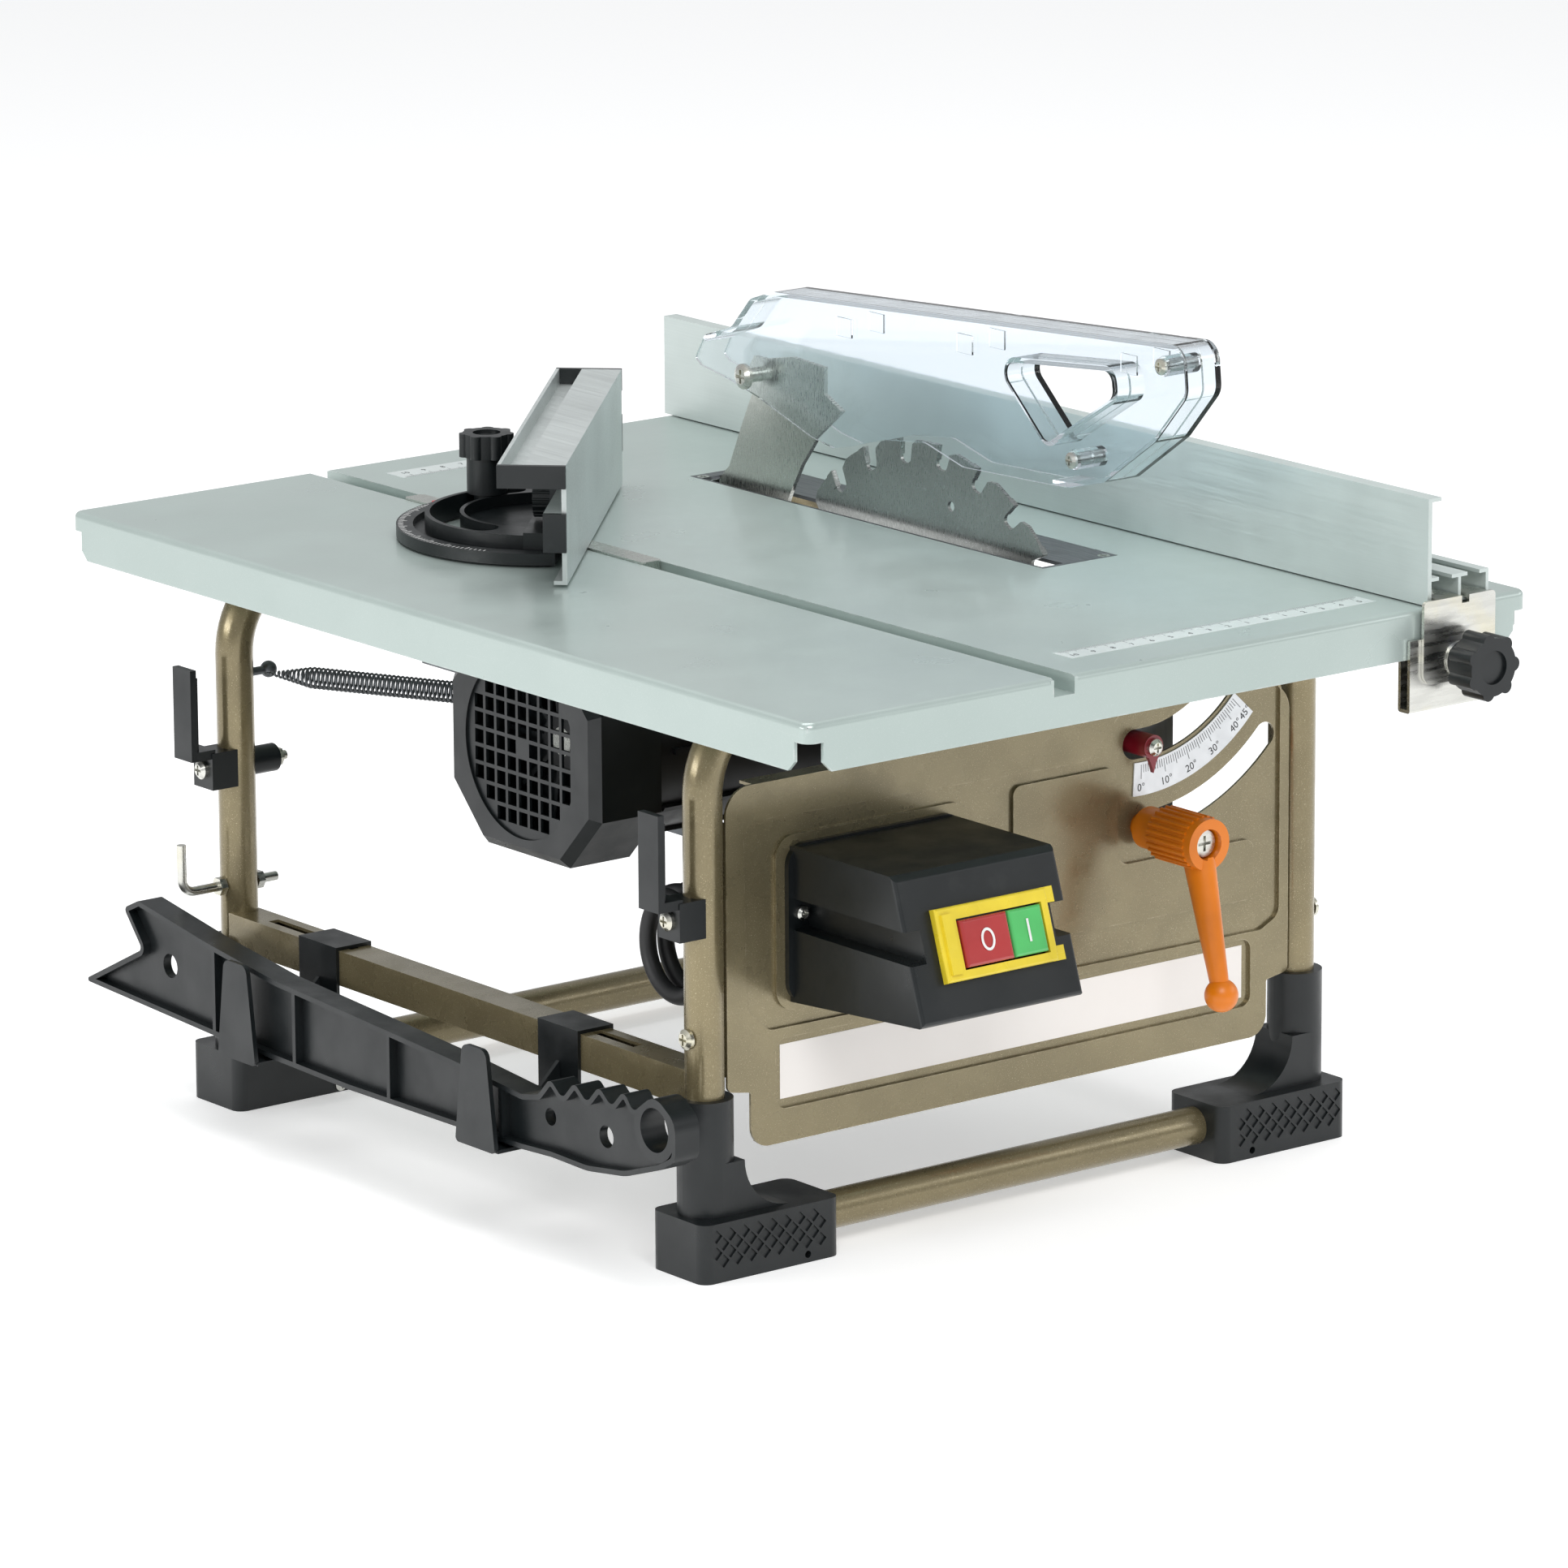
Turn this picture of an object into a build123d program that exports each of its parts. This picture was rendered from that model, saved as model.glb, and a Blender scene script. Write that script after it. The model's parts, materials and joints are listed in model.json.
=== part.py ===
"""Bench table saw with a tilting direct-drive motor, rip fence, mitre gauge and push stick.

All lengths are millimetres.  Shapes are drawn from one datum: the front left corner of the
table top, x to the right, y to the back, z up from the table surface.
"""
from build123d import *
import math
import os

os.makedirs("parts", exist_ok=True)

# ---------------------------------------------------------------- datum and overall sizes
TABLE_HEIGHT = 248.0          # table surface above the bench
TABLE_W = 373.0               # left to right
TABLE_D = 505.0               # front to back
ORIGIN_X = 176.5              # model origin, measured from the datum
ORIGIN_Y = 241.25
SHEET = 1.5                   # table sheet thickness
SKIRT = 20.0                  # folded table edge
FOLD_R = 2.5

# ---------------------------------------------------------------- blade, bevel axis and drive
BLADE_X = 254.5               # plane of the saw blade
BLADE_Y = 241.0               # arbor axis
ARBOR_Z = -61.0
BLADE_R = 100.0
BLADE_T = 1.6
BLADE_TEETH = 24
TIP_T = 2.6
ARBOR_R = 8.0
PIVOT = (BLADE_X, -5.0)       # x, z of the bevel axis, which runs front to back
CRANK_Z = -100.0              # crank axis, straight under the bevel axis
SHAFT_R = 4.0                 # crank shaft, lead screw and bevel pins
SCREW_Y = 129.3               # lead screw axis
PIN_ARC_R = 40.0              # bevel pins run in slots of this radius
PIN_ANGLES = (-50.0, -5.0)
BEVEL_RANGE = 45.0
RUN = 0.06                    # radial running clearance

# ---------------------------------------------------------------- stand
LEG_X = (31.0, 342.0)         # leg centre lines
FRAME_Y = (106.5, 430.0)      # front and rear tube rings
TUBE_R = 8.0
TUBE_WALL = 1.2
RING_TOP = -17.2
RING_BOTTOM = -234.5
RING_BEND = 36.0
FLOOR = -TABLE_HEIGHT
RAIL_W = 15.0
RAIL_TOP = -164.5
FLANGE_TOP = -6.7             # trunnion flange lying on the tube rings
FLANGE_T = 2.5
BOLT_X = (76.0, 160.0, 296.0)
BOLT_R = 3.0

# ---------------------------------------------------------------- table openings, panel and guides
SLOT_X = (122.5, 133.0)       # mitre slot
SLOT_DEPTH = 7.5
INSERT_X = (245.5, 285.8)
INSERT_Y = (155.0, 393.7)
INSERT_SCREWS = ((250.0, 390.0), (281.3, 390.0), (281.3, 159.0))
PANEL_Y = 102.0               # front surface of the front panel
PANEL_T = 1.2
PANEL_SCREW_Z = -151.0
HOOK_BOLT_Z = -101.0          # cable hooks on the left legs
STORAGE_Z = -153.0            # bent rod on the rear left leg
TRUNNION_Y = (116.0, 399.2)   # front faces of the trunnion webs
CRADLE_Y = (118.7, 396.0)     # front faces of the cradle plates
CRADLE_T = 3.0
ROD_X = 228.0                 # guide rods
ROD_Y = (146.0, 374.0)
ROD_R = 5.0
GUARD_PIVOT = (354.0, 50.0)   # y, z of the guard bolt
KNIFE_BOLTS = ((367.0, -72.0), (367.0, -90.0))
MITRE_PIVOT = (127.6, 336.4)
MITRE_KNOB_Y = 380.0
FENCE_KNOB = (332.5, -22.5)   # x, z of the fence clamp screw

datum = Plane(origin=(-ORIGIN_X, -ORIGIN_Y, TABLE_HEIGHT))


# ---------------------------------------------------------------- drawing planes and small helpers
def point(x, y, z):
    """Model position of a datum point."""
    return (x - ORIGIN_X, y - ORIGIN_Y, z + TABLE_HEIGHT)


def level(z):
    """Horizontal plane: local x, y are datum x, y; positive extrusion goes up."""
    return Plane(origin=point(0, 0, z))


def front(y):
    """Plane seen from the front: local x, y are datum x, z; positive extrusion comes forward."""
    return Plane(origin=point(0, y, 0), x_dir=(1, 0, 0), z_dir=(0, -1, 0))


def side(x):
    """Plane seen from the right: local x, y are datum y, z; positive extrusion goes right."""
    return Plane(origin=point(x, 0, 0), x_dir=(0, 1, 0), z_dir=(1, 0, 0))


def block(x, y, z, mode=Mode.ADD):
    """Box between datum limits."""
    with Locations(((x[0] + x[1]) / 2, (y[0] + y[1]) / 2, (z[0] + z[1]) / 2)):
        Box(x[1] - x[0], y[1] - y[0], z[1] - z[0], mode=mode)


def bar_x(x, y, z, r, mode=Mode.ADD):
    """Round bar along x."""
    with Locations(((x[0] + x[1]) / 2, y, z)):
        Cylinder(r, x[1] - x[0], rotation=(0, 90, 0), mode=mode)


def bar_y(x, y, z, r, mode=Mode.ADD):
    """Round bar along y."""
    with Locations((x, (y[0] + y[1]) / 2, z)):
        Cylinder(r, y[1] - y[0], rotation=(90, 0, 0), mode=mode)


def bar_z(x, y, z, r, mode=Mode.ADD):
    """Round bar along z."""
    with Locations((x, y, (z[0] + z[1]) / 2)):
        Cylinder(r, z[1] - z[0], mode=mode)


def outline(points, plane, amount, mode=Mode.ADD):
    """Straight-sided outline on a plane, extruded."""
    with BuildSketch(plane) as face:
        with BuildLine() as edge:
            Polyline(*points, close=True)
        make_face(edge.edges())
    extrude(face.sketch, amount=amount, mode=mode)


def soft_outline(points, corner_r, plane, amount, mode=Mode.ADD):
    """Outline with every corner rounded, extruded."""
    with BuildSketch(plane) as face:
        with BuildLine() as edge:
            FilletPolyline(*points, radius=corner_r, close=True)
        make_face(edge.edges())
    extrude(face.sketch, amount=amount, mode=mode)


def pan_screw(place, head_r, head_h, shank_r, shank_l):
    """Cross-head pan screw: head on the place's xy plane, shank down its z."""
    with Locations(place):
        Cylinder(head_r, head_h * 0.55, align=(Align.CENTER, Align.CENTER, Align.MIN))
        Cylinder(shank_r, shank_l, align=(Align.CENTER, Align.CENTER, Align.MAX))
        with Locations((0, 0, head_h * 0.55)):
            Cone(head_r, head_r * 0.62, head_h * 0.45, align=(Align.CENTER, Align.CENTER, Align.MIN))
        with Locations((0, 0, head_h)):
            Box(head_r * 1.1, head_r * 0.26, head_h, mode=Mode.SUBTRACT)
            Box(head_r * 0.26, head_r * 1.1, head_h, mode=Mode.SUBTRACT)


def hex_prism(plane, across, height, bore=0.0):
    """Hexagon nut or bolt head standing on a plane."""
    with BuildSketch(plane) as face:
        RegularPolygon(across / 2, 6, major_radius=False)
        if bore:
            Circle(bore, mode=Mode.SUBTRACT)
    extrude(face.sketch, amount=height)


def facing_up(x, y, z):
    return Plane(origin=point(x, y, z))


def facing_left(x, y, z):
    return Plane(origin=point(x, y, z), x_dir=(0, 1, 0), z_dir=(-1, 0, 0))


def facing_right(x, y, z):
    return Plane(origin=point(x, y, z), x_dir=(0, 1, 0), z_dir=(1, 0, 0))


def polar(centre, radius, degrees):
    """Point on a circle, degrees counted anticlockwise from local x."""
    angle = math.radians(degrees)
    return (centre[0] + radius * math.cos(angle), centre[1] + radius * math.sin(angle))


def arc_slot(plane, centre, radius, half_width, angles, amount, mode=Mode.SUBTRACT, round_ends=True):
    """Curved slot or band round a centre, between two angles."""
    start, end = angles
    middle = (start + end) / 2
    inner, outer = radius - half_width, radius + half_width
    with BuildSketch(plane) as face:
        with BuildLine() as edge:
            inner_arc = [polar(centre, inner, angle) for angle in (start, middle, end)]
            ThreePointArc(*inner_arc)
            Line(polar(centre, inner, end), polar(centre, outer, end))
            outer_arc = [polar(centre, outer, angle) for angle in (end, middle, start)]
            ThreePointArc(*outer_arc)
            Line(polar(centre, outer, start), polar(centre, inner, start))
        make_face(edge.edges())
        if round_ends:
            with Locations(polar(centre, radius, start), polar(centre, radius, end)):
                Circle(half_width)
    extrude(face.sketch, amount=amount, mode=mode)


def bevel(degrees):
    """Angle round the bevel axis counted from straight down, positive to the right."""
    return degrees - 90


def tube_ring(y, radius, mode=Mode.ADD):
    """Closed rectangular ring of bent round tube standing in the plane of one pair of legs."""
    with BuildLine(front(y)) as ring:
        FilletPolyline(
            (LEG_X[0], RING_BOTTOM),
            (LEG_X[1], RING_BOTTOM),
            (LEG_X[1], RING_TOP),
            (LEG_X[0], RING_TOP),
            radius=RING_BEND,
            close=True,
        )
    with BuildSketch(Plane(origin=ring.line @ 0, z_dir=ring.line % 0)) as section:
        Circle(radius)
    sweep(section.sketch, path=ring.line, mode=mode)


def save(builder, label):
    """Name a piece and write its STEP file."""
    builder.part.label = label
    export_step(builder.part, "parts/" + label + ".step")


# ================================================================ stand
with BuildPart(datum) as front_frame:
    tube_ring(FRAME_Y[0], TUBE_R)
    tube_ring(FRAME_Y[0], TUBE_R - TUBE_WALL, mode=Mode.SUBTRACT)
    for x in BOLT_X:
        bar_z(x, FRAME_Y[0], (RING_TOP - 2 * TUBE_R, RING_TOP + 2 * TUBE_R), BOLT_R, mode=Mode.SUBTRACT)
    bar_x((0, TABLE_W), FRAME_Y[0], PANEL_SCREW_Z, 2.0, mode=Mode.SUBTRACT)
    bar_x((LEG_X[0] - 2 * TUBE_R, LEG_X[0]), FRAME_Y[0], HOOK_BOLT_Z, 2.0, mode=Mode.SUBTRACT)
save(front_frame, "front_frame")

with BuildPart(datum) as rear_frame:
    tube_ring(FRAME_Y[1], TUBE_R)
    tube_ring(FRAME_Y[1], TUBE_R - TUBE_WALL, mode=Mode.SUBTRACT)
    for x in BOLT_X:
        bar_z(x, FRAME_Y[1], (RING_TOP - 2 * TUBE_R, RING_TOP + 2 * TUBE_R), BOLT_R, mode=Mode.SUBTRACT)
    for z in (HOOK_BOLT_Z, STORAGE_Z):
        bar_x((LEG_X[0] - 2 * TUBE_R, LEG_X[0] + 2 * TUBE_R), FRAME_Y[1], z, 2.0, mode=Mode.SUBTRACT)
save(rear_frame, "rear_frame")

RAIL_Z = (RAIL_TOP - RAIL_W, RAIL_TOP)
RAIL_WALL = 1.2
RAIL_SLOTS = (((345.0, 405.0), 5.0), ((150.0, 178.0), 5.0))
with BuildPart(datum) as side_rails:
    for leg in LEG_X:
        block((leg - RAIL_W / 2, leg + RAIL_W / 2), FRAME_Y, RAIL_Z)
    for leg in LEG_X:
        inner = RAIL_W / 2 - RAIL_WALL
        inner_z = (RAIL_Z[0] + RAIL_WALL, RAIL_Z[1] - RAIL_WALL)
        block((leg - inner, leg + inner), FRAME_Y, inner_z, mode=Mode.SUBTRACT)
        for y in FRAME_Y:
            bar_z(leg, y, (RAIL_Z[0] - 1, RAIL_Z[1] + 1), TUBE_R, mode=Mode.SUBTRACT)
        for span, width in RAIL_SLOTS:
            block((leg - width / 2, leg + width / 2), span, (RAIL_TOP - 3, RAIL_TOP + 1), mode=Mode.SUBTRACT)
save(side_rails, "side_rails")

# ---- moulded feet, each closed round the lower bend from two halves
FOOT_TOP = -176.0
FOOT_SLEEVE_R = 11.5
FOOT_BASE_Z = (FLOOR, -223.5)
FOOT_HALF_W = 17.5
FOOT_OUT = 14.6               # base beyond the leg axis, outwards
FOOT_IN = 55.0                # and towards the middle
NECK_R = 22.0
FOOT_SCREW = (38.0, -244.6)   # from the leg axis towards the middle, and height


def whole_feet():
    """Four moulded feet closed round the lower bends, before they are parted into halves."""
    for leg, inward in ((LEG_X[0], 1), (LEG_X[1], -1)):
        for y in FRAME_Y:
            outer_x = leg - inward * FOOT_OUT
            inner_x = leg + inward * FOOT_IN
            base_x = (min(outer_x, inner_x), max(outer_x, inner_x))
            with BuildSketch(level(FLOOR)) as base:
                with Locations(((base_x[0] + base_x[1]) / 2, y)):
                    RectangleRounded(base_x[1] - base_x[0], 2 * FOOT_HALF_W, 5)
            extrude(base.sketch, amount=FOOT_BASE_Z[1] - FOOT_BASE_Z[0])
            bar_z(leg, y, (FLOOR + 5, FOOT_TOP), FOOT_SLEEVE_R)
            neck_x = leg + inward * (FOOT_SLEEVE_R - 0.5 + NECK_R)
            neck_z = FOOT_BASE_Z[1] + NECK_R
            low = FOOT_BASE_Z[1] - 3
            with BuildSketch(front(y + FOOT_SLEEVE_R)) as neck:
                with BuildLine() as edge:
                    Line((leg, low), (neck_x, low))
                    Line((neck_x, low), (neck_x, FOOT_BASE_Z[1]))
                    swing = NECK_R * math.sqrt(0.5)
                    ThreePointArc(
                        (neck_x, FOOT_BASE_Z[1]),
                        (neck_x - inward * swing, neck_z - swing),
                        (neck_x - inward * NECK_R, neck_z),
                    )
                    Line((neck_x - inward * NECK_R, neck_z), (leg, neck_z))
                    Line((leg, neck_z), (leg, low))
                make_face(edge.edges())
            extrude(neck.sketch, amount=2 * FOOT_SLEEVE_R)
    for y in FRAME_Y:
        tube_ring(y, TUBE_R, mode=Mode.SUBTRACT)
    for leg, inward in ((LEG_X[0], 1), (LEG_X[1], -1)):
        rail_x = (leg - RAIL_W / 2 - 0.3, leg + RAIL_W / 2 + 0.3)
        block(rail_x, FRAME_Y, (RAIL_Z[0] - 0.3, FOOT_TOP + 1), mode=Mode.SUBTRACT)
        for y in FRAME_Y:
            screw_x = leg + inward * FOOT_SCREW[0]
            bar_y(screw_x, (y - FOOT_HALF_W - 1, y + FOOT_HALF_W + 1), FOOT_SCREW[1], 1.5, mode=Mode.SUBTRACT)


GRIP_STEP = 7.0                # pitch of the diamond relief on the feet
GRIP_SIZE = 4.0
foot_mid_z = (FOOT_BASE_Z[0] + FOOT_BASE_Z[1]) / 2
with BuildPart(datum) as feet_outer_halves:
    whole_feet()
    block((0, TABLE_W), FRAME_Y, (FLOOR - 1, FOOT_TOP + 1), mode=Mode.SUBTRACT)
    for leg, inward in ((LEG_X[0], 1), (LEG_X[1], -1)):
        for y, face_y in ((FRAME_Y[0], FRAME_Y[0] - FOOT_HALF_W), (FRAME_Y[1], FRAME_Y[1] + FOOT_HALF_W)):
            plane = front(face_y)
            depth = -0.8 if y == FRAME_Y[0] else 0.8
            with BuildSketch(plane) as relief:
                for line in range(-1, 3):
                    for i in range(8):
                        across_x = -8 + GRIP_STEP * (i + line % 2 / 2)
                        with Locations((leg + inward * across_x, foot_mid_z + GRIP_STEP / 2 * line)):
                            Rectangle(GRIP_SIZE, GRIP_SIZE, rotation=45)
            extrude(relief.sketch, amount=depth, mode=Mode.SUBTRACT)
save(feet_outer_halves, "feet_outer_halves")

with BuildPart(datum) as feet_inner_halves:
    whole_feet()
    for y in ((0, FRAME_Y[0]), (FRAME_Y[1], TABLE_D)):
        block((0, TABLE_W), y, (FLOOR - 1, FOOT_TOP + 1), mode=Mode.SUBTRACT)
save(feet_inner_halves, "feet_inner_halves")

# ================================================================ table top
CHANNEL_X = (SLOT_X[0] - SHEET, SLOT_X[1] + SHEET)
CORNER_NOTCH = ((-1, -8), (8, -8), (8, -16), (12, -SKIRT), (12, -SKIRT - 1), (-1, -SKIRT - 1))
LEDGE_Z = (-2 * SHEET, -SHEET)
LEDGE_LEFT = INSERT_X[0] + 1.0
with BuildPart(datum) as table_top:
    with BuildSketch(level(-SKIRT)) as plan:
        with Locations((TABLE_W / 2, TABLE_D / 2)):
            RectangleRounded(TABLE_W, TABLE_D, 2 * FOLD_R)
    extrude(plan.sketch, amount=SKIRT)
    fillet(table_top.faces().sort_by(Axis.Z)[-1].edges(), radius=FOLD_R)
    block((SHEET, TABLE_W - SHEET), (SHEET, TABLE_D - SHEET), (-SKIRT - 1, -SHEET), mode=Mode.SUBTRACT)
    block(CHANNEL_X, (0, TABLE_D), (-SLOT_DEPTH - SHEET, -SHEET / 2))
    block(SLOT_X, (-1, TABLE_D + 1), (-SLOT_DEPTH, 1), mode=Mode.SUBTRACT)
    block((LEDGE_LEFT, 289), (151, 397), LEDGE_Z)
    block(INSERT_X, INSERT_Y, (-SHEET, 1), mode=Mode.SUBTRACT)
    block((LEDGE_LEFT - 1, 279), (163, 385.5), (-4, -SHEET), mode=Mode.SUBTRACT)
    block((LEDGE_LEFT - 1, 259.5), (153, 392), (-4, -SHEET), mode=Mode.SUBTRACT)
    block((LEDGE_LEFT, 252.5), (386.5, 395), LEDGE_Z)
    for x, y in INSERT_SCREWS:
        bar_z(x, y, (-5, 0), 1.6, mode=Mode.SUBTRACT)
    for x_sign, x_zero in ((1, 0), (-1, TABLE_W)):
        notch = [(x_zero + x_sign * x, z) for x, z in CORNER_NOTCH]
        outline(notch, front(3), 4, mode=Mode.SUBTRACT)
        outline(notch, front(TABLE_D + 1), 4, mode=Mode.SUBTRACT)
    for y_sign, y_zero in ((1, 0), (-1, TABLE_D)):
        notch = [(y_zero + y_sign * y, z) for y, z in CORNER_NOTCH]
        outline(notch, side(-1), 4, mode=Mode.SUBTRACT)
        outline(notch, side(TABLE_W - 3), 4, mode=Mode.SUBTRACT)
save(table_top, "table_top")

BLADE_SLOT_X = (246.9, 258.2)
BLADE_SLOT_Y = (157.4, 387.0)
INSERT_GAP = 0.3
with BuildPart(datum) as table_insert:
    insert_x = (INSERT_X[0] + INSERT_GAP, INSERT_X[1] - INSERT_GAP)
    insert_y = (INSERT_Y[0] + INSERT_GAP, INSERT_Y[1] - INSERT_GAP)
    block(insert_x, insert_y, (-SHEET, 0))
    block(BLADE_SLOT_X, BLADE_SLOT_Y, (-SHEET - 1, 1), mode=Mode.SUBTRACT)
    for x, y in INSERT_SCREWS:
        bar_z(x, y, (-SHEET - 1, 1), 1.6, mode=Mode.SUBTRACT)
        with Locations((x, y, -0.5)):
            Cone(1.6, 3.1, 1.5, mode=Mode.SUBTRACT)
save(table_insert, "table_insert")

with BuildPart(datum) as insert_screws:
    for x, y in INSERT_SCREWS:
        with Locations((x, y, -0.7)):
            Cone(1.5, 2.65, 1.2)
        bar_z(x, y, (-9, -1), 1.5)
        block((x - 1.9, x + 1.9), (y - 0.4, y + 0.4), (-0.9, 1), mode=Mode.SUBTRACT)
        block((x - 0.4, x + 0.4), (y - 1.9, y + 1.9), (-0.9, 1), mode=Mode.SUBTRACT)
save(insert_screws, "insert_screws")

# ---- plates that carry the bevel movement, lying on the tube rings
TRUNNION_X = (140.0, 330.0)
TRUNNION_WEB = (
    (200, FLANGE_TOP), (309, FLANGE_TOP), (304, -23), (296, -36), (276, -52.5), (231, -56), (206, -42),
)
FLANGE_Z = (FLANGE_TOP - FLANGE_T, FLANGE_TOP)
with BuildPart(datum) as trunnion_plates:
    block(TRUNNION_X, (FRAME_Y[0] - TUBE_R, TRUNNION_Y[0] + FLANGE_T), FLANGE_Z)
    block(TRUNNION_X, (TRUNNION_Y[1], FRAME_Y[1] + TUBE_R), FLANGE_Z)
    for y in TRUNNION_Y:
        outline(TRUNNION_WEB, front(y + FLANGE_T), FLANGE_T)
        swing = (bevel(PIN_ANGLES[0]), bevel(PIN_ANGLES[1] + BEVEL_RANGE))
        arc_slot(front(y + FLANGE_T + 1), PIVOT, PIN_ARC_R, SHAFT_R + RUN, swing, FLANGE_T + 2)
    for x in BOLT_X[1:]:
        for y in FRAME_Y:
            bar_z(x, y, (-20, 0), BOLT_R, mode=Mode.SUBTRACT)
save(trunnion_plates, "trunnion_plates")

NUT_ACROSS = 10.0
NUT_H = 5.0
STUD_LOW = -34.0
with BuildPart(datum) as table_bolts:
    for y in FRAME_Y:
        for x in BOLT_X:
            seat = FLANGE_TOP if x > BOLT_X[0] else RING_TOP
            bar_z(x, y, (seat, -SHEET), 7.0)
    for y in FRAME_Y:
        bar_x((BOLT_X[0] - 10, BOLT_X[0] + 10), y, RING_TOP, TUBE_R, mode=Mode.SUBTRACT)
        for x in BOLT_X:
            bar_z(x, y, (STUD_LOW, -SHEET), BOLT_R)
            hex_prism(facing_up(x, y, RING_TOP - TUBE_R - NUT_H), NUT_ACROSS, NUT_H)
save(table_bolts, "table_bolts")

# ================================================================ front panel
LEG_EDGE = (LEG_X[0] + TUBE_R, LEG_X[1] - TUBE_R)
PANEL_TOP = -51.0
PANEL_LOW = -200.5
PANEL_STEP = (11.7, -175.0)        # notch above each foot: width and top
PANEL_BACK = PANEL_Y + PANEL_T
WINDOW_R = (54.3, 67.0)
CRANK_SLOT_R = 95.0
CRANK_SLOT_HALF = 5.3
PRESS_DEPTH = 1.5                  # depth of the pressed fields
FLANGE_BACK = 9.0                  # depth of the folded top and bottom edges
SWITCH_BOX_X = (71.0, 153.0)


RECESS = (
    (48, -66), (226, -68.5), (243, -50.6), (329, -50.6), (329, -150), (319, -155), (60, -153), (49, -143),
)
RECESS_RADII = (7, 12, 8, 4, 6, 6, 7, 7)
SWITCH_PAD = ((64, -74.5), (162.5, -74.5), (162.5, -146.5), (64, -146.5))
STEP_PAD = ((186, -73), (240.5, -73), (241.5, -115), (315, -115), (315.5, -141), (186, -139))
STEP_RADII = (4, 5, 6, 5, 5, 5)
BAND_RECESS = ((63.5, -157.5), (313.5, -157.5), (313.5, -186.5), (63.5, -186.5))
RECESS_FLOOR = PANEL_Y + PRESS_DEPTH


def filled(points, radii, mode=Mode.ADD):
    """Rounded outline drawn into the current sketch."""
    with BuildLine() as edge:
        FilletPolyline(*points, radius=radii, close=True)
    make_face(edge.edges(), mode=mode)


def pressed_area(y, grow, amount, mode):
    """Main pressed field of the panel with its two flush pads left standing."""
    with BuildSketch(front(y)) as field:
        filled(RECESS, RECESS_RADII)
        filled(SWITCH_PAD, 9, mode=Mode.SUBTRACT)
        filled(STEP_PAD, STEP_RADII, mode=Mode.SUBTRACT)
        if grow:
            offset(amount=grow, mode=Mode.REPLACE)
    extrude(field.sketch, amount=amount, mode=mode)
    with BuildSketch(front(y)) as band:
        filled(BAND_RECESS, 5)
        if grow:
            offset(amount=grow, mode=Mode.REPLACE)
    extrude(band.sketch, amount=amount, mode=mode)


with BuildPart(datum) as front_panel:
    left, right = LEG_EDGE
    step, step_top = PANEL_STEP
    panel_points = (
        (left, PANEL_TOP),
        (right, PANEL_TOP),
        (right, step_top),
        (right - step, step_top - 2),
        (right - step, PANEL_LOW),
        (left + step, PANEL_LOW),
        (left + step, step_top - 2),
        (left, step_top),
    )
    panel_radii = (12, 12, 3, 1, 9, 9, 1, 3)
    soft_outline(panel_points, panel_radii, front(PANEL_BACK), PANEL_T)
    for edge_x, inner_x in ((left, left + PANEL_T), (right - PANEL_T, right)):
        block((edge_x, inner_x), (PANEL_Y + PANEL_T / 2, PANEL_Y + 12), (step_top + 6, PANEL_TOP - 14))
    fold_y = (PANEL_Y + PANEL_T / 2, PANEL_Y + FLANGE_BACK)
    block((left + 14, right - 14), fold_y, (PANEL_TOP - PANEL_T, PANEL_TOP))
    block((left + step + 8, right - step - 8), fold_y, (PANEL_LOW, PANEL_LOW + PANEL_T))
    pressed_area(RECESS_FLOOR + PANEL_T, PANEL_T, PRESS_DEPTH + PANEL_T / 2, Mode.ADD)
    pressed_area(RECESS_FLOOR, 0, PRESS_DEPTH + 1, Mode.SUBTRACT)
    window_mid, window_half = sum(WINDOW_R) / 2, (WINDOW_R[1] - WINDOW_R[0]) / 2
    window_plane = front(PANEL_Y + FLANGE_BACK + 1)
    arc_slot(window_plane, PIVOT, window_mid, window_half, (bevel(-3), bevel(48)), FLANGE_BACK + 2)
    arc_slot(front(PANEL_BACK + 3), PIVOT, CRANK_SLOT_R, CRANK_SLOT_HALF, (bevel(0), bevel(BEVEL_RANGE)), 6)
    block((90, 134), (PANEL_Y - 1, PANEL_BACK + 1), (-133, -88), mode=Mode.SUBTRACT)
    for x in (75.0, 149.0):
        bar_y(x, (PANEL_Y - 1, PANEL_BACK + 1), -106.5, 1.5, mode=Mode.SUBTRACT)
    bar_x((0, TABLE_W), FRAME_Y[0], PANEL_SCREW_Z, 2.0, mode=Mode.SUBTRACT)
save(front_panel, "front_panel")

SCALE_R = (68.5, 82.5)
SCALE_T = 0.6
with BuildPart(datum) as tilt_scale:
    scale_mid = sum(SCALE_R) / 2
    scale_half = (SCALE_R[1] - SCALE_R[0]) / 2
    scale_arc = (bevel(-3), bevel(47))
    arc_slot(front(RECESS_FLOOR), PIVOT, scale_mid, scale_half, scale_arc, SCALE_T, Mode.ADD, False)
save(tilt_scale, "tilt_scale")

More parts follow.
